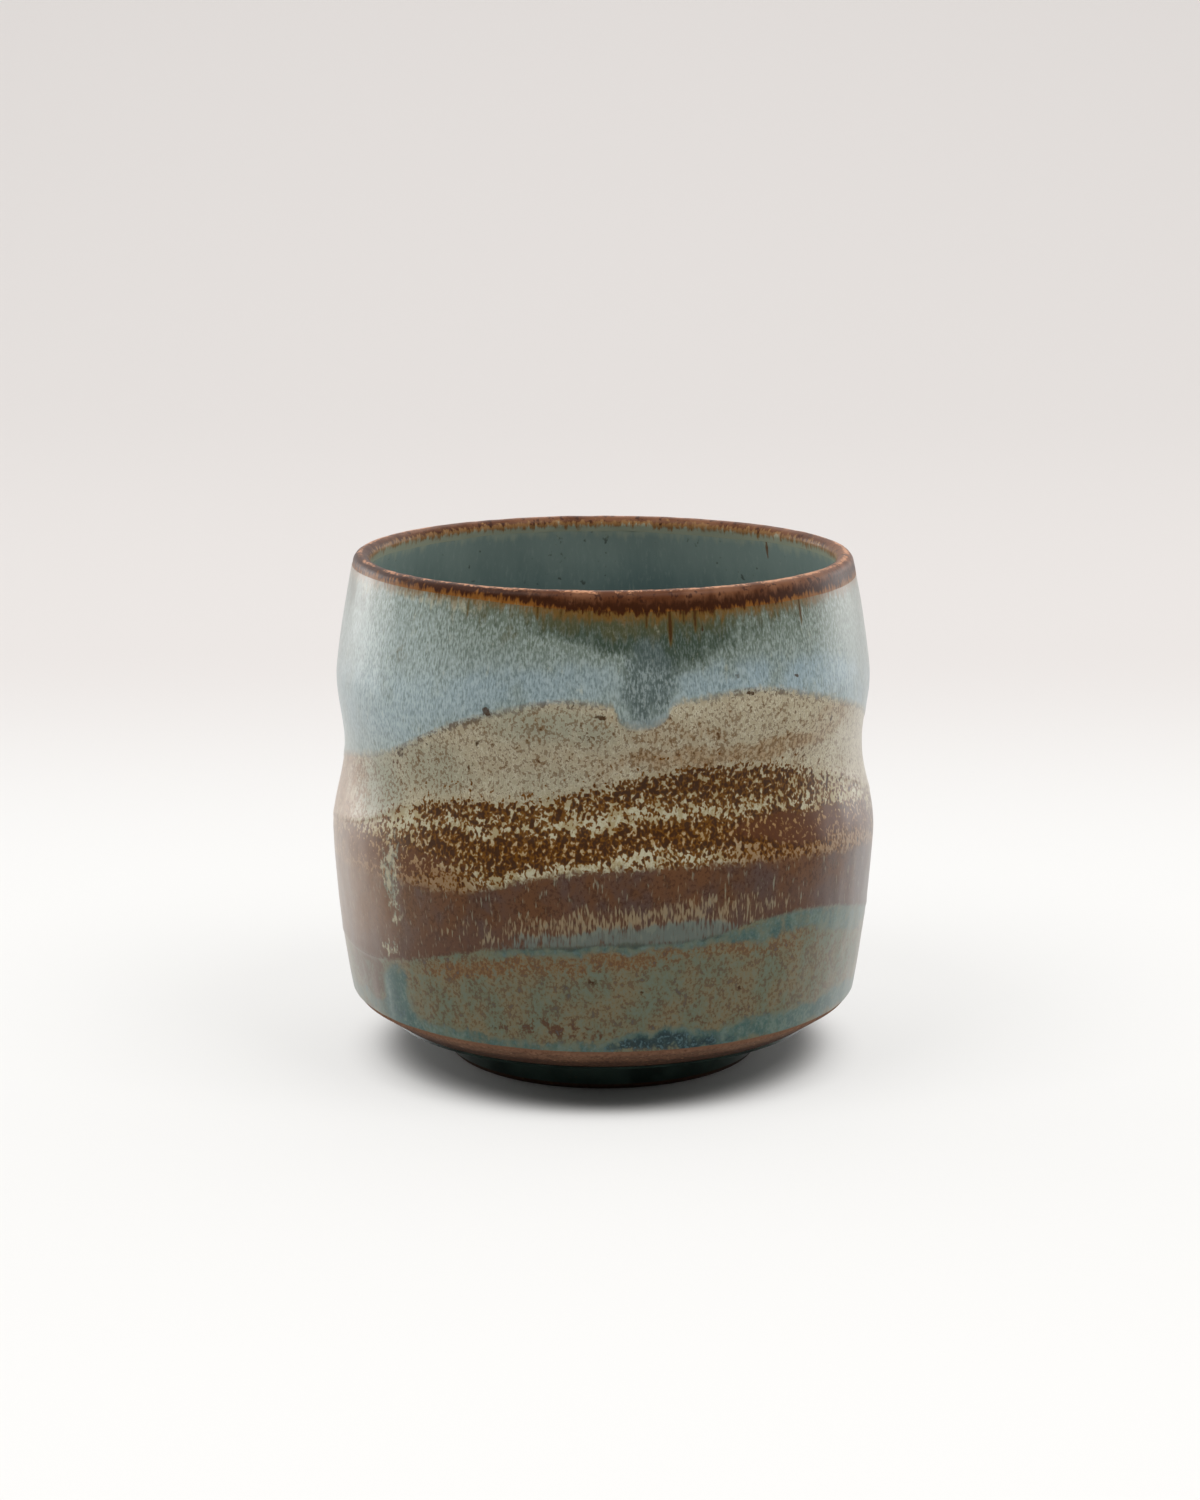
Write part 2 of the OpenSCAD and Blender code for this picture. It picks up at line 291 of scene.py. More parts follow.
def glazeFootEdge(turn):
    a = np.radians(turn)
    return glazeFoot["height"] + glazeFoot["waver"] * (
        0.5 * np.sin(5 * a + 1) + 0.3 * np.sin(11 * a) + 0.2 * np.sin(23 * a + 2))


# Marks in the glaze. A streak runs round the wall through (turn, height, half height, strength)
# and a spot lies at (turn, height, half width in degrees, half height, strength).
streaks = {
    "dark": [       # dark green under the lip
        [(-34, 79, 1, 0), (-15, 78, 2.2, 0.5), (-5, 77.3, 3.2, 0.9), (6, 76.5, 4.2, 1.1),
         (14, 75.6, 5, 1.25), (22, 76.5, 4.2, 0.8), (34, 77, 3.4, 0.5), (48, 77.6, 2.6, 0.4),
         (66, 78, 2.2, 0.3), (90, 78, 2, 0.2), (120, 78, 2, 0)],
        [(-140, 78, 2, 0), (-90, 78, 3.5, 0.4), (-64, 78, 3, 0.45), (-48, 79, 1.5, 0)]],
    "dotted": [     # brown dots along the lower line of the blue-grey
        [(-50, 55.6, 1.5, 0.2), (-42, 58.5, 1.5, 1), (-30, 62, 1.5, 1), (-20, 64.4, 1.5, 0.5),
         (-10, 66, 1.5, 0.8), (-3, 65.9, 1.5, 0.6), (2, 65.8, 1.5, 0), (19, 66.2, 1.5, 0),
         (26, 66.5, 1.5, 0.8), (38, 66.5, 1.5, 0.9), (46, 65.3, 1.5, 0.2), (90, 55, 1.5, 0.4),
         (150, 38, 1.5, 0.6), (-150, 37, 1.5, 0.5), (-90, 49, 1.5, 0.3)]],
    "lipCream": [   # cream just under the lip
        [(-170, 79, 0.8, 0.3), (-110, 80, 1.1, 0.5), (-60, 80.1, 1.4, 0.7), (-42, 80, 1.3, 1),
         (-28, 79.8, 1.1, 0.8), (-16, 79.4, 0.7, 0.3), (-8, 79, 0.5, 0)]],
    "blue": [       # where the blue-grey is bluest
        [(-110, 52, 5, 0.4), (-75, 61, 5, 0.6), (-58, 61.5, 5, 0.8), (-45, 62, 5, 0.9),
         (-35, 65, 4, 0.8), (-20, 68, 3, 0.8), (-8, 69, 2.5, 0.7), (1, 69.5, 2, 0.5),
         (7, 67, 1, 0), (13, 68.5, 1.5, 0.6), (24, 69.3, 2.5, 0.9), (40, 68.5, 3, 1),
         (55, 67, 3, 1), (75, 62, 4, 0.8), (110, 52, 5, 0.4)]],
    "brown": [      # the two dark bands of drops
        [(-45, 47, 1, 0), (-39, 47.6, 1.7, 0.7), (-30, 48, 1.9, 0.75), (-20, 48.2, 1.8, 0.5),
         (-10, 48.9, 1.8, 0.5), (0, 51, 2.2, 0.55), (10, 52.5, 2.2, 0.8), (20, 53, 2.3, 0.9),
         (30, 52.4, 2.6, 1), (40, 51.6, 2.4, 0.9), (48, 50, 1.8, 0.6), (58, 48.3, 1.5, 0.3),
         (70, 46.5, 1.2, 0)],
        [(-90, 36, 2, 0.3), (-62, 39.6, 2, 0.6), (-50, 40.2, 2.2, 0.6), (-41, 42.3, 2, 1.1),
         (-32, 42.8, 2.2, 1.4), (-20, 42.6, 2.7, 1.5), (-10, 43.2, 2.3, 1.5),
         (0, 44.4, 1.8, 1.4), (10, 45.3, 1.7, 1.4), (20, 45.6, 1.8, 1.4), (30, 45.3, 2.2, 1.2),
         (45, 44.5, 2.6, 0.9), (60, 43.2, 2.4, 0.7), (75, 41.5, 2, 0.5), (110, 35, 2, 0.2)]],
    "cream": [      # the pale bands below each of them
        [(-56, 43.6, 0.9, 0), (-46, 45.0, 1.4, 1.8), (-36, 45.5, 0.9, 0.8),
         (-25, 45.8, 0.9, 0.5), (-15, 46.4, 1, 0.4), (-5, 47.3, 1.3, 0.6), (5, 48.2, 1.6, 0.9),
         (20, 48.7, 1.6, 0.6), (35, 48.8, 1.4, 0.1), (48, 47.3, 1, 0.3), (64, 46, 1, 0.3),
         (80, 44, 1, 0)],
        [(-50, 35, 0.9, 0), (-38, 36.3, 0.9, 0.2), (-28, 36.8, 0.7, 1.2), (-20, 37.8, 0.7, 2.4),
         (-10, 40.4, 0.8, 2.8), (-4, 41.4, 0.9, 2.8), (5, 42.2, 1, 1.4), (20, 42.3, 1.1, 0.7),
         (35, 42, 1.2, 0.3), (48, 41, 1.2, 0.5), (60, 40, 1.2, 0.6), (75, 38.5, 1, 0)]],
    "red": [        # reddish brown at the sides
        [(23, 45.5, 1, 0), (32, 45.2, 1.6, 0.8), (42, 44.8, 2, 1), (52, 44, 2, 0.9),
         (62, 43, 2, 0.7), (90, 39, 2, 0.6), (130, 32, 2, 0)],
        [(-110, 33, 2, 0.2), (-72, 38, 2.4, 0.5), (-62, 38.8, 2.8, 0.9), (-54, 38.8, 2.6, 0.8),
         (-44, 39.2, 2, 0.8), (-34, 39.4, 1.3, 0.6), (-24, 40, 1, 0)]],
    "tanNet": [     # where the cream between the drops turns tan
        [(18, 42, 2, 0), (32, 41.5, 3, 0.7), (50, 41, 3.5, 1), (62, 40, 3.5, 1),
         (90, 36, 3, 0.7), (140, 30, 2, 0)],
        [(-110, 33, 2.5, 0.5), (-62, 37, 3, 0.9), (-40, 37, 2.4, 1), (-30, 37.2, 2, 0.7),
         (-20, 38, 1, 0)]],
    "leftTan": [    # tan round the left side
        [(-170, 31, 4, 0), (-140, 34, 4.5, 0.25), (-110, 39, 5.5, 0.55), (-90, 43, 7, 0.85),
         (-76, 46.5, 8, 1.2), (-68, 47, 7.5, 1.1), (-61, 47.5, 6.5, 0.35), (-56, 48, 6, 0)]],
    "hang": [       # cream that hangs in runs over the iron
        [(-44, 28.5, 0.8, 0), (-34, 29, 0.9, 0.3), (-24, 29.8, 1.3, 0.6), (-14, 31, 1.8, 0.85),
         (-4, 32.3, 2.3, 1), (8, 33, 2.6, 1.05), (20, 33.2, 2.5, 1), (28, 33.6, 2.2, 0.7),
         (38, 33.4, 1.6, 0.35), (50, 33.4, 1, 0)]],
    "pool": [       # grey pool below the runs
        [(-26, 27.8, 0.7, 0), (-16, 28.8, 1.1, 0.6), (-6, 29.8, 1.6, 0.9), (5, 30.1, 1.8, 1),
         (18, 30.1, 1.8, 1), (26, 30.6, 1.4, 0.6), (36, 31.2, 1, 0)]],
    "line": [       # painted shadow: a dark line under the step where the pool ends
        [(-28, 27, 0.4, 0), (-18, 28.1, 0.45, 0.6), (-8, 28.8, 0.5, 0.8), (5, 29.1, 0.6, 1),
         (15, 29.1, 0.6, 1), (24, 29.3, 0.5, 0.6), (32, 30, 0.5, 0)]],
    "orange": [     # orange flecks under that line
        [(-46, 22, 0.8, 0), (-36, 23, 1.2, 0.5), (-26, 24, 1.5, 0.6), (-14, 25.3, 1.8, 0.7),
         (-4, 26, 1.8, 0.95), (6, 26.3, 1.6, 0.95), (16, 26.8, 1.3, 0.8), (22, 27, 1.3, 0.7),
         (35, 27.4, 1.6, 0.7), (50, 25.6, 1.5, 0.5), (62, 24, 1, 0)],
        [(-48, 19, 1, 0), (-38, 21, 1.6, 0.5), (-30, 23.6, 1.8, 0.6), (-20, 25, 1.6, 0.4),
         (-12, 26, 1, 0)]],
    "rust": [       # rust above the hip
        [(-32, 15.5, 0.6, 0), (-20, 15.2, 1, 0.5), (-8, 14.9, 1.3, 1), (-2, 14.6, 1.1, 0.8),
         (6, 15.6, 0.8, 0.4), (20, 16.4, 0.8, 0.5), (35, 16.4, 0.7, 0.4), (52, 16.6, 0.6, 0)]],
    "teal": [       # teal along the hip and under the iron
        [(-170, 12, 1, 0.5), (-80, 13, 1.5, 0.6), (-66, 12.6, 1.4, 0.6), (-58, 12.6, 1.5, 0.7),
         (-46, 12.3, 1.4, 0.8), (-30, 11.9, 1.1, 0.8), (-15, 11.8, 1, 0.7), (0, 12.2, 1.2, 0.7),
         (6, 13.2, 1.8, 0.9), (15, 13.2, 2.1, 1), (25, 12.8, 1.7, 1), (40, 13.2, 1.8, 1),
         (60, 13.4, 1.9, 1), (100, 13, 1.5, 0.6), (150, 12.5, 1, 0.5)],
        [(-30, 26.4, 0.6, 0), (-20, 27.4, 0.9, 0.6), (-5, 28, 1, 0.7), (10, 28.3, 1, 0.7),
         (22, 28.8, 1.1, 0.7), (28, 29.6, 1.3, 0.8), (36, 29.8, 1.8, 0.8), (46, 29.4, 1.9, 0.8),
         (56, 28.2, 1.9, 0.8), (66, 26.6, 1.8, 0.7), (90, 23, 1.2, 0.6), (130, 17, 1, 0)]],
}

spots = {
    "core": [(9, 69.5, 5, 6.4, 1.1)],       # the dark middle of the drip
    "olive": [(-48, 71.5, 1.6, 1.6, 0.8), (-20, 76, 1.5, 2, 0.4)],
    "speck": [      # iron specks
        (-24.3, 64.3, 0.8, 0.5, 1), (-48, 55.4, 2, 0.8, 0.7), (-26.4, 58.9, 0.6, 0.6, 0.9),
        (-27, 56, 1.1, 0.4, 0.6), (-5.6, 66, 0.6, 0.4, 0.9), (-1, 64.3, 0.9, 0.55, 1),
        (-3, 61.5, 2, 0.9, 0.45), (31.3, 65.9, 0.9, 0.4, 1), (42.8, 68.1, 0.5, 0.3, 0.9),
        (29, 69.3, 0.5, 0.5, 0.7), (55.6, 60.2, 0.5, 1.2, 0.8), (-38, 57.8, 1.2, 0.8, 0.5),
        (-2, 23.2, 1.8, 0.5, 0.7), (7.6, 21.3, 1, 0.5, 0.7), (29.5, 20, 0.7, 0.5, 0.7),
        (20.6, 77.4, 0.5, 0.4, 0.9), (-15, 21, 0.6, 0.4, 0.5), (-23, 15, 1.2, 0.5, 0.6),
        (-34, 22.5, 0.8, 0.5, 0.5)],
    "run": [        # brown that ran out of the lip
        (133, 79.2, 0.45, 2.8, 0.8), (14, 77.4, 0.42, 2.8, 1.8), (19.5, 78.8, 0.45, 1.6, 1.2),
        (47, 77.9, 0.35, 2.1, 1.1), (9, 79, 0.3, 1.3, 1), (17, 79, 0.3, 1.2, 1),
        (24, 79, 0.3, 1.0, 0.9), (-14, 79.6, 0.3, 1.4, 0.9), (-9, 79.2, 0.4, 1.1, 0.8),
        (-3, 79, 0.3, 0.9, 0.7), (-30, 79.5, 0.3, 1.3, 0.6)],
    "teal": [(-50, 15.5, 4.4, 5.4, 1.4)],   # the thick run at the left
    "blueDeep": [   # blue pools at the hip
        (14, 12.5, 10, 1.9, 1.0), (4, 12.2, 5, 0.9, 0.6), (26, 12.6, 6, 1, 0.4),
        (-51, 14, 3, 2.2, 0.4)],
    "lobe": [(-62, 19.5, 9, 6.5, 0.9)],     # brown patch left of that run
    "seam": [       # where two dips overlap
        (-48.3, 35.5, 2.6, 7, 1.1), (-50.5, 24.4, 3.4, 1.5, 0.7)],
    "tan": [        # tan clouds in the oatmeal
        (56, 60, 12, 3, 0.5), (16, 61.5, 14, 2.2, 0.45), (28, 57.3, 24, 2, 0.9),
        (-8, 57, 12, 2, 0.3), (2, 64.5, 6, 1.5, 0.4), (-30, 62, 5, 1, 0.4)],
    "thin": [(-90, 33, 40, 14, 0.4)],       # painted light, paler round the left side where the side light falls
    "light": [(-47, 68, 16, 16, 0.45)],     # painted highlight, paler blue-grey where the left lamp's light falls
    "green": [      # green clouds in the oatmeal
        (-55, 48.5, 9, 6.5, 0.9), (-38, 54, 9, 4, 0.6), (-12, 53, 12, 2.5, 0.3),
        (-10, 62.5, 14, 3, 0.7)],
}

markWaver = {
    "wide": 6.0,             # size of the slow waver in the outline of a mark
    "wideShift": 1.3,
    "fine": 1.7,
    "fineShift": 0.55,
}


def markStrengths(turn, z):
    # How strongly every mark shows at each point of the wall, with wavering outlines
    radius = clay["bellyWidth"] / 2
    place = atTurn(turn, radius, z)
    shift = {}
    for axis, seed in (("across", 21), ("up", 25)):
        shift[axis] = (markWaver["wideShift"] * smoothNoise(place, markWaver["wide"], seed)
                       + markWaver["fineShift"] * smoothNoise(place, markWaver["fine"], seed + 2))
    plainTurn = turn
    turn = turn + np.degrees(shift["across"] / radius)
    z = z + shift["up"]
    strengths = {name: np.zeros(len(z)) for name in set(streaks) | set(spots)}
    for name, marks in streaks.items():
        for mark in marks:
            turns = [p[0] for p in mark]
            middle, half, strength = (
                np.interp(turn, turns, [p[i] for p in mark], period=360) for i in (1, 2, 3))
            strengths[name] += strength * np.exp(-((z - middle) / half) ** 4 * 0.7)
    for name, marks in spots.items():
        for at, height, halfWidth, halfHeight, strength in marks:
            across = (plainTurn if name == "run" else turn) - at
            away = (across / halfWidth) ** 2 + ((z - height) / halfHeight) ** 2
            strengths[name] += strength * np.exp(-away ** 2 * 0.7)
    return strengths


coat = {
    "thickness": 0.42,
    "lining": 0.4,
    "foot": 0.3,
    "sunk": 0.06,            # the hidden side of a coat lies this far in the clay
    "edgeRoll": 0.5,         # a free edge thins to nothing over this length
    "bead": 0.09,            # extra thickness where a dip ends
    "beadReach": 1.3,
    "dripRise": 0.3,
    "dripFrom": 66.0,        # the drip fades into the coat between these heights
    "dripTop": 73.0,
    "tealRise": 0.05,
    "ripple": 0.05,
    "rippleSize": 3.2,
    "liningRippleSize": 4.5,
}

tealRun = {"turn": -50.0, "halfWidth": 4.4, "top": 20.4}


def wallCoat(turn, z):
    # Thickness of the glaze on the outer wall, with a bead along every line and the thick runs
    t = np.full(np.shape(z), coat["thickness"])
    for edge in (upperEdge, mottledEdge, lowerEdge):
        above = z - edge(turn)
        t += coat["bead"] * np.exp(-(above / coat["beadReach"]) ** 2) * between(above, -0.5, 0.2)
    inDrip = 1 - between(dripAway(turn), 0.4, 1.0)
    t += coat["dripRise"] * inDrip * between(z - upperEdge(turn), -0.4, 1.2) * (
        1 - between(z, coat["dripFrom"], coat["dripTop"]))
    inRun = 1 - between(abs(turn - tealRun["turn"]) / tealRun["halfWidth"], 0.5, 1.0)
    t += coat["tealRise"] * inRun * (1 - between(z, tealRun["top"] - 1.5, tealRun["top"]))
    roll = np.clip((z - glazeFootEdge(turn)) / coat["edgeRoll"], 0, 1)
    return t * np.sqrt(1 - (1 - roll) ** 2)


def evenTurns(columns):
    return np.linspace(-180, 180, columns, endpoint=False)


def rowsBetween(low, high, count):
    return [low + (high - low) * i / count for i in range(count + 1)]


def sheetRings(turns, lengths, thickness):
    # One ring of points for each row of lengths along the section, moved out by the thickness.
    # A row that reaches the axis of the cup becomes a single point.
    columns = len(turns)
    coarse = 6                # the slow wander is worked out at every sixth point
    rings = []
    for row, t in zip(lengths, thickness):
        row = np.broadcast_to(row, turns.shape)
        radius, height = sectionAt(row)
        r = radius + t * np.interp(row, evenLength, evenNormal[:, 0])
        z = height + t * np.interp(row, evenLength, evenNormal[:, 1])
        if radius.max() < step:
            rings.append([[0, 0, z.mean()]])
            continue
        spread = atTurn(turns, clay["bellyWidth"] / 2, z)[::coarse]
        drift = smoothNoise(spread, clay["unevennessSize"], 1)
        drift = np.interp(np.arange(columns), np.arange(0, columns + coarse, coarse),
                          np.r_[drift, drift[0]])
        r = r + clay["unevenness"] * drift * between(z, 6, 16)
        rings.append(atTurn(turns, r, z))
    return rings


def ringMesh(name, rings, closed):
    # Skins rings of points with quads, and with triangles where a ring is a single point
    counts = [len(ring) for ring in rings]
    starts = np.cumsum([0] + counts)
    faces = []
    pairs = list(zip(range(len(rings) - 1), range(1, len(rings))))
    if closed:
        pairs.append((len(rings) - 1, 0))
    for low, high in pairs:
        n = max(counts[low], counts[high])
        if n == 1:
            continue
        j = np.arange(n)
        k = (j + 1) % n
        a, b = starts[low], starts[high]
        if counts[low] == 1:
            faces += np.c_[np.full(n, a), b + k, b + j].tolist()
        elif counts[high] == 1:
            faces += np.c_[a + j, a + k, np.full(n, b)].tolist()
        else:
            faces += np.c_[a + j, a + k, b + k, b + j].tolist()
    mesh = bpy.data.meshes.new(name)
    mesh.from_pydata((np.vstack(rings) * mm).tolist(), [], faces)
    mesh.update()
    mesh.shade_smooth()
    mesh.set_sharp_from_angle(angle=math.radians(50))
    piece = bpy.data.objects.new(name, mesh)
    bpy.context.scene.collection.objects.link(piece)
    return piece


def storeMarks(piece):
    # For the materials: how far each point lies above the glaze lines and inward of the crest of
    # the lip, in millimetres, and the strength of every mark there
    mesh = piece.data
    flat = np.zeros(len(mesh.vertices) * 3, np.float32)
    mesh.vertices.foreach_get("co", flat)
    x, y, z = (flat.reshape(-1, 3) / mm).T
    turn = np.degrees(np.arctan2(x, -y))
    edges = {"Lip": lipEdge, "Upper": upperEdge, "Mottled": mottledEdge, "Iron": ironEdge,
             "Lower": lowerEdge}
    values = {"above" + name: z - edge(turn) for name, edge in edges.items()}
    values["inward"] = crestRadius - np.hypot(x, y)
    values.update(markStrengths(turn, z))
    for name, value in values.items():
        attribute = mesh.attributes.new(name, "FLOAT", "POINT")
        attribute.data.foreach_set("value", value.astype(np.float32))


def coatSheet(name, turns, lengths, back, thickness):
    # A closed coat: its shown side along the lengths, and its hidden side back again
    rings = sheetRings(turns, lengths, [thickness(turns, row) for row in lengths])
    rings += sheetRings(turns, back, [-coat["sunk"]] * len(back))
    return ringMesh(name, rings, closed=True)


def coatBand(name, turns, low, high, rows, thickness):
    # A coat between two edges, given as lengths along the section at every turn
    back = rowsBetween(low, high, 8)[::-1]
    return coatSheet(name, turns, rowsBetween(low, high, rows), back, thickness)


wallTurns = evenTurns(720)


def wallThickness(turns, lengths):
    r, z = sectionAt(lengths)
    ripple = smoothNoise(atTurn(turns, outerRadius(z), z * 0.6), coat["rippleSize"], 3)
    return wallCoat(turns, z) + coat["ripple"] * ripple


def makeWallCoats():
    edges = {
        "upper_glaze": (upperEdge, rimEdge, 84),
        "oatmeal_glaze": (mottledEdge, upperEdge, 36),
        "mottled_glaze": (ironEdge, mottledEdge, 36),
        "iron_glaze": (lowerEdge, ironEdge, 36),
        "lower_glaze": (glazeFootEdge, lowerEdge, 48),
    }
    made = {}
    for node, (low, high, rows) in edges.items():
        made[node] = coatBand(node + "_coat", wallTurns, alongWall(low(wallTurns)),
                              alongWall(high(wallTurns)), rows, wallThickness)
        storeMarks(made[node])
        print("made", node)
    return made


rim = {
    "insideHeight": 80.0,
    "waver": 0.25,
    "meltRipple": 0.06,
    "meltSize": 2.6,
    "outsideLevel": 79.0,    # the coat outside is as thick as the wall's at this height
    "blend": 1.5,            # and takes this length to become as thick as the lining
}


def rimInnerEdge(turn):
    a = np.radians(turn)
    return rim["insideHeight"] + rim["waver"] * (
        0.6 * np.sin(4 * a + 0.5) + 0.25 * np.sin(9 * a) + 0.15 * np.sin(19 * a + 1))


def rimThickness(turns, lengths):
    r, z = sectionAt(lengths)
    outside = wallCoat(turns, np.full(np.shape(z), rim["outsideLevel"]))
    blend = between(lengths, lengthAt("lip") - rim["blend"], lengthAt("lip"))
    ripple = smoothNoise(atTurn(turns, r, z), rim["meltSize"], 8)
    return outside * (1 - blend) + coat["lining"] * blend + rim["meltRipple"] * ripple


def makeRim():
    piece = coatBand("rim_glaze_coat", wallTurns, alongWall(rimEdge(wallTurns)),
                     alongInside(rimInnerEdge(wallTurns)), 34, rimThickness)
    storeMarks(piece)
    return piece


def liningThickness(turns, lengths):
    r, z = sectionAt(lengths)
    ripple = smoothNoise(atTurn(turns, r, z * 0.7), coat["liningRippleSize"], 5)
    return coat["lining"] + coat["ripple"] * ripple


def makeLining():
    turns = evenTurns(480)
    lengths = rowsBetween(alongInside(rimInnerEdge(turns)), evenLength[-1], 150)
    piece = coatSheet("liner_glaze_coat", turns, lengths, lengths[::-4], liningThickness)
    storeMarks(piece)
    return piece


def footThickness(turns, lengths):
    return np.full(len(turns), coat["foot"])


def makeFootCoats():
    # The coat ends just above the table and at the trimmed edge
    rootStart = lengthAt("underside")
    bare = np.interp(foot["bareHeight"], [foot["bevel"], foot["height"]],
                     [sectionLength[partStart["underside"] - 1], rootStart + foot["root"]])
    trimEdge = sectionLength[partStart["hip"] - 1]
    outside = coatBand("foot_glaze_coat", evenTurns(480), bare, trimEdge, 40, footThickness)
    recessSide = lengthAt("rest") - (foot["bareHeight"] - foot["bevel"])
    lengths = rowsBetween(0, recessSide, 60)
    inside = coatSheet("recess_glaze_coat", evenTurns(360), lengths, lengths[::-6], footThickness)
    return outside, inside


def makeClay():
    # Fine rows where the bare clay shows, wider ones under the glaze
    fine = 0.3
    wide = 1.5
    stretches = [(0, wide), (lengthAt("rest") - 0.6, fine), (lengthAt("underside"), wide),
                 (lengthAt("hip") - 2, fine), (lengthAt("wall") + 1, wide),
                 (lengthAt("lip"), fine), (lengthAt("inside"), wide)]
    ends = [start for start, spacing in stretches[1:]] + [evenLength[-1]]
    lengths = []
    for (start, spacing), end in zip(stretches, ends):
        lengths += list(np.arange(start, end, spacing))
    lengths.append(evenLength[-1])
    rings = sheetRings(evenTurns(480), lengths, [0] * len(lengths))
    return ringMesh("stoneware_body_clay", rings, closed=False)


wallCoats = makeWallCoats()
rimPiece = makeRim()
liningPiece = makeLining()
footPiece, recessPiece = makeFootCoats()
clayPiece = makeClay()
print("made the rim, lining, foot coats and clay")


def linear(value):
    # One channel of a colour as it looks, 0 to 255, as the value that a shader takes
    value /= 255
    return value / 12.92 if value <= 0.04045 else ((value + 0.055) / 1.055) ** 2.4


class Wire:
    # A socket that can be added, multiplied and so on, each time with a Math node
    def __init__(self, tree, socket):
        self.tree = tree
        self.socket = socket

    def math(self, operation, *others):
        node = self.tree.nodes.new("ShaderNodeMath")
        node.operation = operation
        for i, value in enumerate((self,) + others):
            if isinstance(value, Wire):
                self.tree.links.new(value.socket, node.inputs[i])
            else:
                node.inputs[i].default_value = value
        return Wire(self.tree, node.outputs[0])

    def __add__(self, other):
        return self.math("ADD", other)

    def __sub__(self, other):
        return self.math("SUBTRACT", other)

    def __mul__(self, other):
        return self.math("MULTIPLY", other)

    def __truediv__(self, other):
        return self.math("DIVIDE", other)

    def size(self):
        return self.math("ABSOLUTE")

    def most(self, other):
        return self.math("MAXIMUM", other)

    def rise(self, low, high, start=0.0, end=1.0):
        # Smooth step from start at low to end at high
        node = self.tree.nodes.new("ShaderNodeMapRange")
        node.interpolation_type = "SMOOTHSTEP"
        self.tree.links.new(self.socket, node.inputs["Value"])
        if low > high:
            low, high, start, end = high, low, end, start
        limits = {"From Min": low, "From Max": high, "To Min": start, "To Max": end}
        for name, value in limits.items():
            node.inputs[name].default_value = value
        return Wire(self.tree, node.outputs["Result"])

    def within(self, low, high, soft):
        # 1 between low and high, with soft flanks outside
        return self.rise(low - soft, low) * self.rise(high + soft, high)


class Painter:
    # Builds the nodes of one tree
    def __init__(self, tree):
        self.tree = tree
        place = tree.nodes.new("ShaderNodeTexCoord")
        self.object = place.outputs["Object"]
        self.generated = place.outputs["Generated"]

    def wire(self, socket):
        return Wire(self.tree, socket)

    def attribute(self, name):
        node = self.tree.nodes.new("ShaderNodeAttribute")
        node.attribute_name = name
        return self.wire(node.outputs["Fac"])

    def noise(self, size, detail, rough, stretch, seed):
        # Noise about 0.5 with bumps of this size in millimetres, stretch times as tall
        node = self.tree.nodes.new("ShaderNodeTexNoise")
        node.noise_dimensions = "4D"
        scale = 1 / (size * mm)
        place = self.tree.nodes.new("ShaderNodeVectorMath")
        place.operation = "MULTIPLY"
        self.tree.links.new(self.object, place.inputs[0])
        place.inputs[1].default_value = (scale, scale, scale / stretch)
        self.tree.links.new(place.outputs[0], node.inputs["Vector"])
        node.inputs["Scale"].default_value = 1.0
        node.inputs["W"].default_value = seed
        node.inputs["Detail"].default_value = detail
        node.inputs["Roughness"].default_value = rough
        return self.wire(node.outputs[0])

    def grain(self, name):
        # A noise of the table below, about 0
        return self.noise(*noises[name]) - 0.5

    def mix(self, factor, a, b):
        # Each of a and b is a wire or a colour as it looks, 0 to 255
        node = self.tree.nodes.new("ShaderNodeMix")
        node.data_type = "RGBA"
        for value, socket in ((factor, node.inputs[0]), (a, node.inputs[6]), (b, node.inputs[7])):
            if isinstance(value, Wire):
                self.tree.links.new(value.socket, socket)
            elif isinstance(value, tuple):
                socket.default_value = [linear(c) for c in value] + [1.0]
            else:
                socket.default_value = value
        return self.wire(node.outputs[2])

    def split(self, vector):
        node = self.tree.nodes.new("ShaderNodeSeparateXYZ")
        self.tree.links.new(vector, node.inputs[0])
        return [self.wire(socket) for socket in node.outputs]

    def height(self):
        # Height above the table in millimetres
        return self.split(self.object)[2] / mm


class Layers:
    # A colour with others laid over it, each through a mask
    def __init__(self, painter, mask, under, over):
        self.painter = painter
        self.colour = painter.mix(mask, under, over)

    def lay(self, colour, mask):
        self.colour = self.painter.mix(mask, self.colour, colour)


def newGroup(name, outputs):
    tree = bpy.data.node_groups.new(name, "ShaderNodeTree")
    for label, kind in outputs.items():
        tree.interface.new_socket(label, in_out="OUTPUT", socket_type="NodeSocket" + kind)
    return tree, Painter(tree)


def endGroup(tree, values):
    out = tree.nodes.new("NodeGroupOutput")
    for label, value in values.items():
        tree.links.new(value.socket, out.inputs[label])


# Size of the bumps in millimetres, detail, roughness, times as tall as wide, seed
noises = {
    "wide": (13.0, 3, 0.55, 1.4, 1),
    "middle": (4.0, 3, 0.6, 1.4, 2),
    "small": (1.3, 2, 0.55, 1.2, 11),
    "fine": (0.5, 2, 0.6, 1.2, 4),
    "fibre": (0.28, 2, 0.6, 3.6, 3),
    "runs": (1.0, 3, 0.6, 9.0, 5),
    "rimRuns": (0.6, 3, 0.6, 5.0, 12),
    "drops": (0.68, 1.2, 0.5, 1.25, 14),
    "gaps": (0.8, 1.2, 0.5, 1.25, 6),
    "patchy": (2.2, 2, 0.5, 1.3, 9),
    "thread": (0.36, 1.5, 0.5, 5.0, 7),
}


def rimEdgeRuns(rimRuns, small, runs):
    # How far the iron of the rim runs down past its line, in millimetres. The wall and the rim
    # share it, so that the ragged edge goes on from one to the other.
    return rimRuns * 4.0 + small * 1.4 + runs * 2.0 + 0.35


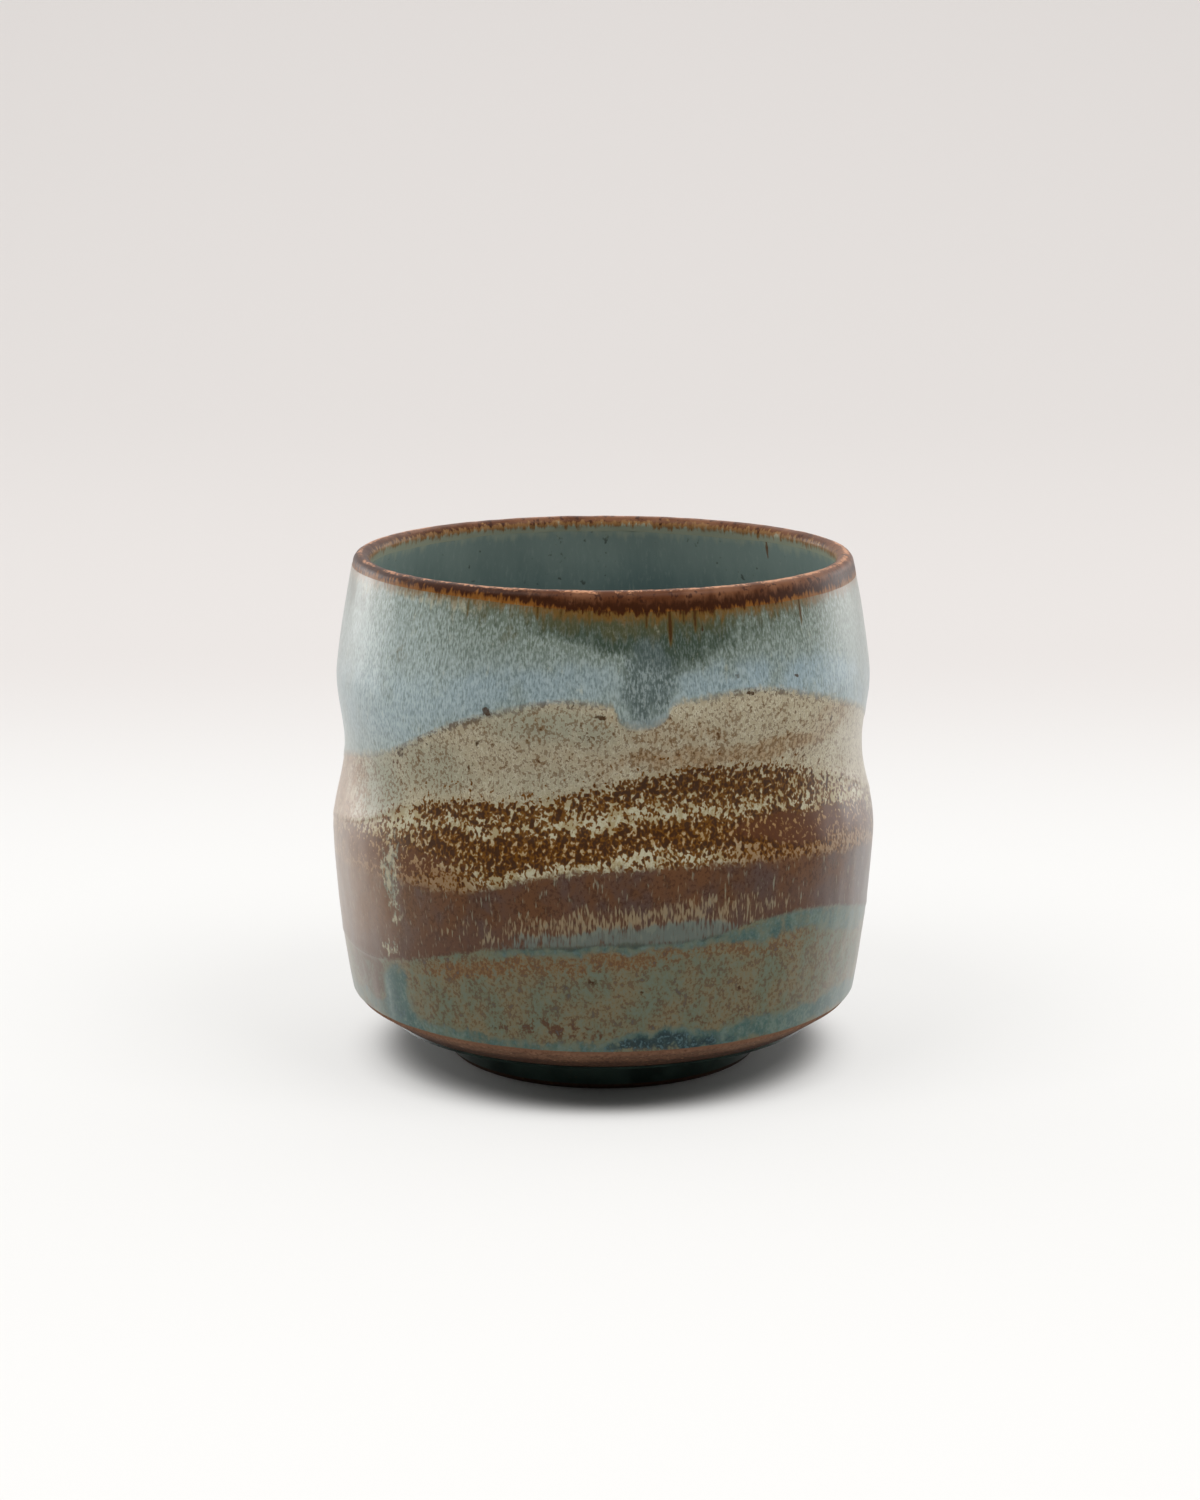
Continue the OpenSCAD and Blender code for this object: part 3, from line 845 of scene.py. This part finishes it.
# Colours as they look under plain light, 0 to 255
tone = {
    "upperGrey": (116, 127, 122),
    "upperBlue": (126, 142, 147),
    "upperGreen": (98, 107, 94),
    "upperDark": (46, 58, 46),
    "upperPale": (168, 180, 178),
    "upperOlive": (76, 70, 38),
    "dripCore": (74, 85, 83),
    "dripLip": (142, 156, 158),
    "oatmeal": (152, 142, 118),
    "oatmealPale": (184, 178, 156),
    "oatmealTan": (90, 64, 34),
    "oatmealGreen": (124, 130, 114),
    "tan": (136, 102, 62),
    "tanNet": (124, 94, 64),
    "leftTan": (122, 84, 42),
    "dotBrown": (84, 56, 22),
    "speck": (54, 30, 4),
    "brown": (48, 20, 0),
    "brownWarm": (106, 64, 0),
    "red": (76, 42, 22),
    "cream": (144, 132, 100),
    "creamPale": (164, 160, 136),
    "amberNet": (132, 88, 22),
    "lipCream": (168, 166, 142),
    "iron": (84, 56, 36),
    "ironPurple": (78, 60, 53),
    "ironWarm": (92, 60, 36),
    "ironDark": (56, 32, 18),
    "creamHang": (150, 134, 104),
    "pool": (94, 105, 98),
    # painted shadow under the step of the pool
    "line": (36, 44, 44),
    "green": (108, 99, 75),
    "greenGrey": (96, 99, 80),
    "greenBrown": (82, 50, 32),
    "orange": (112, 77, 42),
    "rust": (76, 42, 24),
    "teal": (54, 84, 82),
    "tealPale": (94, 112, 104),
    "blueDeep": (30, 43, 48),
    "blueFleck": (64, 88, 94),
    "lobe": (84, 64, 50),
    # painted light round the left side
    "thin": (172, 146, 122),
    "amber": (104, 72, 26),
    "runAmber": (80, 64, 28),
    "runBrown": (58, 32, 8),
    "ironRim": (54, 24, 4),
}


def wallGlazeGroup():
    # Every coat on the outer wall, so that neighbouring coats melt into each other
    tree, p = newGroup("wall glazes", {"Colour": "Color", "Roughness": "Float", "Height": "Float"})
    above = {name: p.attribute("above" + name)
             for name in ("Lip", "Upper", "Mottled", "Iron", "Lower")}
    mark = {name: p.attribute(name) for name in sorted(set(streaks) | set(spots))}

    wide, middle, small, fine, fibre, runs = (
        p.grain(name) for name in ("wide", "middle", "small", "fine", "fibre", "runs"))

    # Blue-grey coat: blue in the middle, green towards the lip, with fine pale crystals
    climb = above["Lip"] + wide * 8.0 + runs * 9.0
    upper = Layers(p, mark["blue"] * middle.rise(-0.25, 0.05), tone["upperGrey"], tone["upperBlue"])
    upper.lay(tone["upperGreen"], climb.rise(-12.0, -3.5) * 0.85)
    dark = (mark["dark"] + wide * 1.0 + runs * 1.6 + small * 0.5).rise(0.15, 0.95)
    upper.lay(tone["upperDark"], dark * 0.9)
    core = (mark["core"] + runs * 1.4 + small * 0.8).rise(0.2, 0.95)
    upper.lay(tone["dripCore"], core * 0.85)
    crystals = (fibre + fine * 0.4 + runs * 0.3).rise(-0.04, 0.13)
    upper.lay(tone["upperPale"], crystals * (dark * -0.22 + 0.34))
    upper.lay(tone["upperDark"], (fibre + fine * 0.4).rise(-0.02, -0.14) * 0.32)
    stain = (climb + mark["dark"] * 1.5).rise(-3.5, -0.5) * 0.55
    upper.lay(tone["upperOlive"], stain.most(mark["olive"] * small.rise(-0.1, 0.1)))
    # Painted highlight: paler blue-grey on the upper left, where the light from the left falls
    upper.lay(tone["upperPale"], mark["light"] * fibre.rise(-0.3, 0.2))
    cream = (mark["lipCream"] * 0.7 + runs * 2.4 + small * 1.6 + fine).rise(0.3, 1.2)
    upper.lay(tone["lipCream"], cream * 0.6)

    # Oatmeal coat, flecked tan and green
    oatmeal = Layers(p, (fine * 0.8 + fibre * 0.6).rise(-0.08, 0.08), tone["oatmeal"],
                     tone["oatmealPale"])
    oatmeal.lay(tone["oatmealGreen"], mark["green"] * middle.rise(-0.3, 0.0) * 0.8)
    tan = (mark["tan"] + small * 1.2 + fine * 1.8 + wide).rise(0.1, 1.0)
    oatmeal.lay(tone["tan"], tan * 0.6)
    leftTan = (mark["leftTan"] * 0.8 + small * 2.4 + fine * 1.8 + middle * 1.5).rise(0.1, 1.2)
    oatmeal.lay(tone["leftTan"], leftTan * 0.85)
    flecks = fine * 1.3 + fibre * 0.5 + small * 0.15 + middle * 0.2 + mark["tan"] * 0.03
    flecks = flecks.rise(-0.02, 0.11)
    oatmeal.lay(tone["oatmealTan"], flecks * 0.7)
    freckles = (small * 1.2 + fine * 0.6).rise(0.2, 0.32)
    oatmeal.lay(tone["brown"], freckles * 0.6)

    # Mottled coat: brown that has crawled into drops and islands over cream. The drops stand
    # alone where the brown lies thin and close up to a net of fine gaps where it lies thick.
    drops = p.grain("drops") * 0.9
    gaps = p.grain("gaps").size() * 1.2 - 0.08
    crawl = drops + gaps + fine * 0.08
    patchy = p.grain("patchy")
    thick = above["Mottled"].rise(3.4, -1.0, -0.8, 0.12) + mark["brown"] * 0.36
    thick = thick - mark["cream"] * 0.11 + mark["red"] * 0.25 + patchy * 0.4 + wide * 0.3
    edge = crawl - thick.rise(-0.6, 0.6, 0.2, -0.14)
    brownMask = edge.rise(-0.03, 0.06)
    brown = Layers(p, edge.rise(0.24, 0.02) * 0.85, tone["brown"], tone["brownWarm"])
    redness = (mark["red"] + small * 0.8 + fine).rise(0.1, 0.8)
    brown.lay(tone["red"], redness * 0.85)
    net = Layers(p, (patchy + fine).rise(-0.1, 0.1), tone["cream"], tone["creamPale"])
    net.lay(tone["amberNet"], thick.rise(0.3, 0.9) * 0.7)
    net.lay(tone["tan"], mark["red"] * 0.75)
    net.lay(tone["leftTan"], leftTan * 0.7)
    net.lay(tone["tanNet"], (mark["tanNet"] + fine * 0.5).rise(0.0, 0.9) * 0.85)

    # Smooth iron coat, with cream that hangs in short runs over its lower line
    iron = Layers(p, middle.rise(-0.15, 0.15), tone["ironPurple"], tone["iron"])
    iron.lay(tone["ironWarm"], (wide + middle * 0.4).rise(-0.06, 0.12) * 0.8)
    iron.lay(tone["ironDark"], (fine + small * 0.5).rise(0.0, 0.12) * 0.6)
    iron.lay(tone["ironPurple"], (above["Lower"] + middle * 6.0).rise(7.0, 1.5) * 0.5)
    thread = p.grain("thread")
    hang = (thread + mark["hang"] * 0.19 + small * 0.15).rise(0.1, 0.26)
    iron.lay(tone["creamHang"], hang * 0.62)
    pool = (mark["pool"] + thread * 2.4 + small).rise(0.2, 0.95)
    iron.lay(tone["pool"], pool * 0.8)

    # Green coat with brown flecks, patches and teal pools
    speckle = fine * 1.3 + small * 0.9 + fibre * 0.4
    green = Layers(p, middle.rise(-0.12, 0.12), tone["green"], tone["greenGrey"])
    orange = (mark["orange"] + small * 1.5 + fine * 1.5 + runs).rise(0.2, 1.2)
    green.lay(tone["orange"], orange * 0.7)
    green.lay(tone["greenBrown"], speckle.rise(-0.02, 0.14) * 0.5)
    green.lay(tone["tealPale"], speckle.rise(-0.02, -0.2) * 0.3)
    rust = (mark["rust"] * 0.8 + small * 2.8 + middle * 1.5 + fine * 1.2).rise(0.5, 1.0)
    green.lay(tone["rust"], rust * 0.75)
    teal = (mark["teal"] + small * 1.6 + fine * 1.2).rise(0.2, 1.0)
    tealTone = p.mix((middle + fine * 1.2).rise(-0.15, 0.25), tone["teal"], tone["tealPale"])
    green.lay(tealTone, teal * 0.88)
    deep = (mark["blueDeep"] + small * 2.4 + fine * 1.6).rise(0.2, 1.1)
    deepTone = p.mix((fine + small * 0.5).rise(0.02, 0.16), tone["blueDeep"], tone["blueFleck"])
    green.lay(deepTone, deep * 0.85)
    lobe = (mark["lobe"] + small * 2.0 + fine * 1.6).rise(0.1, 1.2)
    green.lay(tone["lobe"], lobe * (teal * -0.9 + 1.0))
    # Painted shadow: a dark line under the step where the pool ends
    green.lay(tone["line"], (mark["line"] + small * 0.8).rise(0.2, 1.0) * 0.6)

    # Melt the coats into each other from the top down, with a grainy edge at each line
    grain = fine * 2.2 + small * 2.6
    wall = Layers(p, (above["Upper"] + grain * 0.8).rise(0.9, -0.9), upper.colour, oatmeal.colour)
    lip = above["Upper"].within(-0.2, 0.7, 0.6) * mark["core"].rise(0.0, 0.2)
    wall.lay(tone["dripLip"], lip * 0.35)
    dots = above["Upper"].within(-0.45, 0.25, 0.5) * (small + fine * 0.8).rise(-0.04, 0.08)
    wall.lay(tone["dotBrown"], dots * mark["dotted"] * 0.7)
    wall.lay(net.colour, (above["Mottled"] + grain * 0.8).rise(1.6, -1.8))
    wallBrown = brownMask * (above["Mottled"] + patchy * 5.0).rise(3.6, 3.0)
    wall.lay(brown.colour, wallBrown * 0.96)
    wall.lay(iron.colour, (above["Iron"] + grain * 0.9).rise(0.6, -0.8))
    wall.lay(green.colour, (above["Lower"] + grain * 0.5).rise(0.45, -0.45))

    # Painted light: the glaze is painted paler round the left side, where the side light falls
    wall.lay(tone["thin"], mark["thin"] + small * mark["thin"])

    # Specks, the overlap of two dips at the left, and the brown that ran out of the lip
    wall.lay(tone["speck"], (mark["speck"] + fine * 1.4).rise(0.35, 0.75) * 0.85)
    seam = (mark["seam"] + thread * 2.4 + small * 3.0 + fine * 2.4).rise(0.5, 1.2)
    seamTone = p.mix(small.rise(-0.05, 0.1), tone["oatmealGreen"], tone["creamPale"])
    wall.lay(seamTone, seam * mark["seam"].rise(0.1, 0.5) * 0.75)
    ragged = above["Lip"] + rimEdgeRuns(p.grain("rimRuns"), small, runs)
    wall.lay(tone["amber"], ragged.rise(-2.2, 0.0) * 0.85)
    wall.lay(tone["runAmber"], mark["run"].rise(0.05, 0.5) * 0.75)
    wall.lay(tone["runBrown"], (mark["run"] + fine).rise(0.45, 1.0) * 0.85)
    wall.lay(tone["ironRim"], ragged.rise(-0.5, 0.4))

    rough = middle * 0.25 + above["Upper"].rise(-2.0, 2.0, 0.50, 0.42)
    height = fibre * 0.5 + brownMask * -0.25 + small * 0.8
    endGroup(tree, {"Colour": wall.colour, "Roughness": rough, "Height": height})
    return tree


gloss = {
    "ior": 1.2,              # low, because the glazes look dark and clear from the front
    "glassIor": 1.8,         # of the glassy skin that shows along the sides
    "glassRoughness": 0.35,
    "glassFrom": 0.3,        # how far the surface turns away before the skin shows, 0 to 1
    "glassTo": 0.75,
}


def newMaterial(name, relief, glass=1.0):
    # A material with a bump node in front of its shader and a glassy skin that shows where the
    # surface turns away, and a function that wires colour, roughness and height in
    material = bpy.data.materials.new(name)
    material.use_nodes = True
    tree = material.node_tree
    shader = tree.nodes["Principled BSDF"]
    shader.inputs["IOR"].default_value = gloss["ior"]
    if glass:
        shader.inputs["Coat IOR"].default_value = gloss["glassIor"]
        shader.inputs["Coat Roughness"].default_value = gloss["glassRoughness"]
        layer = tree.nodes.new("ShaderNodeLayerWeight")
        layer.inputs["Blend"].default_value = 0.5
        away = Wire(tree, layer.outputs["Facing"])
        skin = away.rise(gloss["glassFrom"], gloss["glassTo"]) * glass
        tree.links.new(skin.socket, shader.inputs["Coat Weight"])
    bump = tree.nodes.new("ShaderNodeBump")
    bump.inputs["Strength"].default_value = 0.5
    bump.inputs["Distance"].default_value = relief * mm
    tree.links.new(bump.outputs["Normal"], shader.inputs["Normal"])

    def connect(colour, rough, height):
        tree.links.new(colour.socket, shader.inputs["Base Color"])
        tree.links.new(rough.socket, shader.inputs["Roughness"])
        tree.links.new(height.socket, bump.inputs["Height"])

    return material, connect


def wallMaterial(name, group, relief):
    material, connect = newMaterial(name, relief)
    layer = material.node_tree.nodes.new("ShaderNodeGroup")
    layer.node_tree = group
    connect(*(Wire(material.node_tree, layer.outputs[name])
              for name in ("Colour", "Roughness", "Height")))
    return material


rimTone = {
    "iron": (80, 44, 22),
    "ironPale": (106, 68, 44),
    "ironDark": (46, 20, 8),
    "ironLow": (50, 22, 4),
    # the crest breaks paler and carries a painted highlight
    "crestBreakAndHighlight": (184, 132, 98),
    "edge": (116, 72, 26),
    "edgeGreen": (128, 112, 72),
    "inside": (132, 96, 58),
    "insideGreen": (150, 154, 134),
}


def rimMaterial():
    # Iron that breaks to tan on the crest of the lip, with a painted highlight along the crest, and
    # an amber edge outside and inside
    material, connect = newMaterial("iron rim glaze", 0.05, 0.3)
    p = Painter(material.node_tree)
    z = p.height()
    lip = p.attribute("aboveLip")
    inward = p.attribute("inward")
    wide = p.noise(7, 3, 0.6, 1, 1) - 0.5
    small = p.grain("small")
    fine = p.noise(0.5, 3, 0.6, 1.4, 2) - 0.5
    runs = p.grain("rimRuns")
    glaze = Layers(p, wide.rise(-0.1, 0.12), rimTone["iron"], rimTone["ironPale"])
    glaze.lay(rimTone["ironDark"], (small + fine * 0.5).rise(0.06, 0.16) * 0.8)
    glaze.lay(rimTone["ironLow"], (lip + runs * 3.0 + small * 1.5).rise(1.9, 0.4))
    # The crest of the lip breaks paler, with a painted highlight laid along it
    crestBreakAndHighlight = (inward + small * 1.5).within(-0.45, -0.05, 0.3) * (fine + wide).rise(-0.05, 0.05)
    glaze.lay(rimTone["crestBreakAndHighlight"], crestBreakAndHighlight * 0.75)
    ragged = lip + rimEdgeRuns(runs, small, p.grain("runs"))
    edge = p.mix(ragged.rise(-0.5, -1.8), rimTone["edge"], rimTone["edgeGreen"])
    glaze.lay(edge, ragged.rise(0.4, -0.5) * inward.rise(0.0, -0.4))
    under = z + runs * 3.0 + small * 1.5
    inside = p.mix(under.rise(81.3, 80.5), rimTone["inside"], rimTone["insideGreen"])
    glaze.lay(inside, under.rise(81.9, 81.4) * inward.rise(0.2, 0.7))
    connect(glaze.colour, fine * 0.25 + 0.46, fine * 0.5 + small)
    return material


liningTone = {
    "celadon": (98, 117, 114),
    "celadonPale": (114, 131, 126),
    "fibre": (150, 162, 152),
    # painted light near the top inside the cup
    "high": (140, 154, 146),
    # painted shade lower down inside the cup
    "deep": (72, 90, 90),
    "speck": (52, 52, 40),
    "cream": (152, 160, 142),
    "run": (104, 66, 36),
}


def liningMaterial():
    # Celadon that turns cream where it meets the iron of the lip, painted lighter near the top and
    # with painted shade lower down inside the cup
    material, connect = newMaterial("celadon lining", 0.03, 0.5)
    p = Painter(material.node_tree)
    z = p.height()
    wide = p.noise(12, 3, 0.5, 1.6, 1)
    small = p.noise(*noises["small"])
    fibre = p.noise(0.6, 3, 0.6, 3.0, 3)
    runs = p.noise(1.5, 3, 0.6, 8.0, 5)
    glaze = Layers(p, wide.rise(0.35, 0.65), liningTone["celadon"], liningTone["celadonPale"])
    glaze.lay(liningTone["fibre"], fibre.rise(0.52, 0.72) * 0.35)
    # Painted light near the top of the lining and painted shade lower down
    glaze.lay(liningTone["high"], (z + (runs - 0.5) * 8.0).rise(68, 79) * 0.5)
    glaze.lay(liningTone["deep"], z.rise(76, 64) * 0.6)
    glaze.lay(liningTone["speck"], (small + (wide - 0.5) * 0.2).rise(0.66, 0.74) * 0.6)
    glaze.lay(liningTone["cream"], (z + (runs - 0.5) * 5.0).rise(78.6, 80.4) * 0.8)
    glaze.lay(liningTone["run"], (p.attribute("run") + (small - 0.5)).rise(0.35, 0.65) * 0.8)
    connect(glaze.colour, wide * 0.1 + 0.2, fibre)
    return material


footTone = {
    # dark green glaze, darkened further as painted shade under the cup
    "green": (26, 36, 32),
    "greenPale": (42, 56, 50),
    "brown": (70, 56, 38),
}


def footMaterial():
    material, connect = newMaterial("dark green foot glaze", 0.03)
    p = Painter(material.node_tree)
    wide = p.noise(6, 3, 0.5, 1, 1)
    fine = p.noise(0.6, 3, 0.6, 1, 3)
    # Dark green glaze, its tones darkened further as painted shade under the cup
    glaze = Layers(p, wide.rise(0.35, 0.65), footTone["green"], footTone["greenPale"])
    glaze.lay(footTone["brown"], fine.rise(0.55, 0.8) * 0.4)
    connect(glaze.colour, wide * 0.15 + 0.25, fine)
    return material


clayTone = {
    "clay": (90, 63, 47),
    "clayPale": (110, 80, 60),
    "pit": (64, 42, 28),
    "grog": (142, 110, 84),
    "hip": (134, 98, 76),         # painted highlight along the top of the bare band, where the glaze ends
    "shadeUnderHip": (36, 20, 10),     # painted shade under the hip and at the foot
}


def clayMaterial():
    # Toasted stoneware with fine grog, with a painted highlight along the top of the bare band and
    # painted shade under the hip and at the foot
    material, connect = newMaterial("toasted clay", 0.15, 0.0)
    p = Painter(material.node_tree)
    wide = p.noise(8, 3, 0.55, 1, 1)
    fine = p.noise(0.4, 3, 0.65, 1, 3)
    grog = p.noise(0.7, 2, 0.5, 1, 6)
    uneven = p.height() + (grog - 0.5) * 2.0
    body = Layers(p, wide.rise(0.35, 0.65), clayTone["clay"], clayTone["clayPale"])
    body.lay(clayTone["pit"], fine.rise(0.42, 0.62) * 0.7)
    body.lay(clayTone["grog"], grog.rise(0.62, 0.72))
    # Painted highlight along the top of the bare band, where the glaze ends
    body.lay(clayTone["hip"], uneven.rise(10.0, 10.9) * 0.6)
    # Painted shade under the hip and at the foot
    body.lay(clayTone["shadeUnderHip"], uneven.rise(9.4, 8.2) * 0.75)
    connect(body.colour, fine * 0.2 + 0.6, fine + grog)
    return material


def finish(piece, material, node):
    piece.data.materials.append(material)
    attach(piece, "root")
    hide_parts(node)


wallGroup = wallGlazeGroup()
wallFinishes = {
    "upper_glaze": ("blue-grey glaze", 0.05, "upper_blue_grey"),
    "oatmeal_glaze": ("oatmeal glaze", 0.06, "oatmeal"),
    "mottled_glaze": ("mottled glaze", 0.10, "mottled_brown_cream"),
    "iron_glaze": ("smooth iron glaze", 0.04, "smooth_iron_brown"),
    "lower_glaze": ("green glaze", 0.04, "lower_green"),
}
for node, (name, relief, slot) in wallFinishes.items():
    finish(wallCoats[node], wallMaterial(name, wallGroup, relief), node)
finish(rimPiece, rimMaterial(), "rim_glaze")
finish(liningPiece, liningMaterial(), "liner_glaze")
footGreen = footMaterial()
finish(footPiece, footGreen, "foot_glaze")
finish(recessPiece, footGreen, "recess_glaze")
finish(clayPiece, clayMaterial(), "stoneware_body")
print("painted the glazes")

studio = {
    "paperWidth": 2.4,
    "bendStart": 0.9,        # where the paper starts to sweep up behind the cup
    "bend": 1.6,
    "paperHeight": 2.2,
    "nearPaper": (250, 249, 247),    # as it looks on the floor in front
    # the paper is painted darker further back, as painted shade
    "middlePaper": (237, 232, 229),
    "farPaper": (233, 228, 225),
    "near": 0.1,             # metres behind the cup, where the look of the paper changes
    "middle": 0.36,
    "far": 0.95,
    "paperLight": 1.55,      # how much more light the paper gets than plain white would show
    "glow": 0.62,            # share of the look of the paper that no shadow takes away
    "shadowFrom": 32.0,      # millimetres from the axis; the whole shadow shows inside this
    "shadowTo": 44.0,
    "airBehind": 1.1,
    "airInFront": 0.1,
    "airAtLeft": 0.8,
    "airAtRight": 0.8,
}


def makeBackdrop():
    # Paper that lies on the floor and sweeps up behind the cup
    half = studio["paperWidth"] / 2
    turn = np.radians(np.linspace(-90, 0, 25))
    bendY = studio["bendStart"] + studio["bend"] * np.cos(turn)
    bendZ = studio["bend"] + studio["bend"] * np.sin(turn)
    line = [(-half, 0.0)] + list(zip(bendY, bendZ)) + [(bendY[-1], studio["paperHeight"])]
    points = [(x, y, z) for y, z in line for x in (-half, half)]
    faces = [(2 * i, 2 * i + 1, 2 * i + 3, 2 * i + 2) for i in range(len(line) - 1)]
    mesh = bpy.data.meshes.new("backdrop")
    mesh.from_pydata(points, [], faces)
    mesh.shade_smooth()
    backdrop = bpy.data.objects.new("backdrop", mesh)
    bpy.context.scene.collection.objects.link(backdrop)
    material = bpy.data.materials.new("backdrop paper")
    material.use_nodes = True
    nodes = material.node_tree.nodes
    links = material.node_tree.links
    shader = nodes["Principled BSDF"]
    p = Painter(material.node_tree)
    x, y, z = p.split(p.object)
    # Painted shade: the paper's colour darkens further back, where less light reaches it
    look = p.mix(y.rise(studio["near"], studio["middle"]), studio["nearPaper"],
                 studio["middlePaper"])
    look = p.mix(y.rise(studio["middle"], studio["far"]), look, studio["farPaper"])
    paper = p.mix(1 - 1 / studio["paperLight"], look, (0, 0, 0))
    links.new(paper.socket, shader.inputs["Base Color"])
    shader.inputs["Roughness"].default_value = 0.9
    shader.inputs["Specular IOR Level"].default_value = 0.1
    glow = nodes.new("ShaderNodeEmission")
    links.new(look.socket, glow.inputs["Color"])
    path = nodes.new("ShaderNodeLightPath")
    seen = p.wire(path.outputs["Is Camera Ray"]) + p.wire(path.outputs["Is Glossy Ray"])
    seen = seen + p.wire(path.outputs["Is Transmission Ray"])
    reach = (x * x + y * y).math("SQRT")
    away = reach.rise(studio["shadowFrom"] * mm, studio["shadowTo"] * mm)
    blend = nodes.new("ShaderNodeMixShader")
    links.new((seen * away * studio["glow"]).socket, blend.inputs[0])
    links.new(shader.outputs[0], blend.inputs[1])
    links.new(glow.outputs[0], blend.inputs[2])
    links.new(blend.outputs[0], nodes["Material Output"].inputs["Surface"])
    mesh.materials.append(material)


softboxes = {
    # where each lamp is and what it is aimed at in metres, its width and height, and its watts
    "top box": ((0, 0.05, 1.2), (0, 0, 0), (1.7, 1.5), 2.6),
    "front left box": ((-0.55, -0.42, 1.05), (0, 0, 0.04), (0.6, 0.6), 8.3),
    "front right box": ((0.55, -0.38, 1.05), (0, 0, 0.04), (0.6, 0.6), 8.4),
    "left box": ((-1.0, 0.6, 0.25), (0, 0, 0.04), (0.8, 0.5), 3.2),
    "right box": ((1.0, 0.6, 0.3), (0, 0, 0.05), (0.8, 0.6), 2.2),
    "back box": ((0.05, 0.8, 0.8), (0, 0, 0.08), (0.9, 0.25), 1.0),
    "paper box": ((0, 1.3, 1.3), (0, 1.5, 0.1), (2.2, 0.6), 6.6),
}
paperBoxSpread = 110          # degrees; the other lamps shine all round their face


def makeSoftboxes():
    for name, (place, aim, size, watts) in softboxes.items():
        lamp = bpy.data.lights.new(name, "AREA")
        lamp.shape = "RECTANGLE"
        lamp.size, lamp.size_y = size
        lamp.energy = watts
        lamp.spread = math.radians(paperBoxSpread if name == "paper box" else 180)
        thing = bpy.data.objects.new(name, lamp)
        thing.location = place
        thing.rotation_euler = (Vector(aim) - Vector(place)).to_track_quat("-Z", "Y").to_euler()
        bpy.context.scene.collection.objects.link(thing)


def makeAir():
    # Light from all round, bright behind the cup and dim on the camera's side
    world = bpy.data.worlds.new("studio air")
    world.use_nodes = True
    tree = world.node_tree
    p = Painter(tree)
    x, y, z = p.split(p.generated)       # the way that each ray comes from
    strength = y.rise(-0.5, 0.4, studio["airInFront"], studio["airBehind"])
    sides = x.rise(-0.3, -0.75) * studio["airAtLeft"] + x.rise(0.3, 0.75) * studio["airAtRight"]
    strength = strength + sides * y.rise(-0.35, 0.3) * z.rise(0.35, 0.1)
    tree.links.new(strength.socket, tree.nodes["Background"].inputs["Strength"])
    tree.nodes["Background"].inputs["Color"].default_value = (1, 1, 1, 1)
    bpy.context.scene.world = world


makeBackdrop()
makeAir()
makeSoftboxes()
print("set up the paper and the lamps")

# Camera where the photograph was taken from, by the ellipses of the lip and foot
photoCamera = {
    "place": (-0.00052, -0.5, 0.1603),
    "pitch": 12.487,
    "lens": 75.27,
    "sensor": 36.0,
}
cameraData = bpy.data.cameras.new("photo camera")
cameraData.lens = photoCamera["lens"]
cameraData.sensor_width = photoCamera["sensor"]
camera = bpy.data.objects.new("photo camera", cameraData)
camera.location = photoCamera["place"]
camera.rotation_euler = (math.radians(90 - photoCamera["pitch"]), 0, 0)
bpy.context.scene.collection.objects.link(camera)
bpy.context.scene.camera = camera
bpy.context.scene.view_settings.view_transform = "Standard"
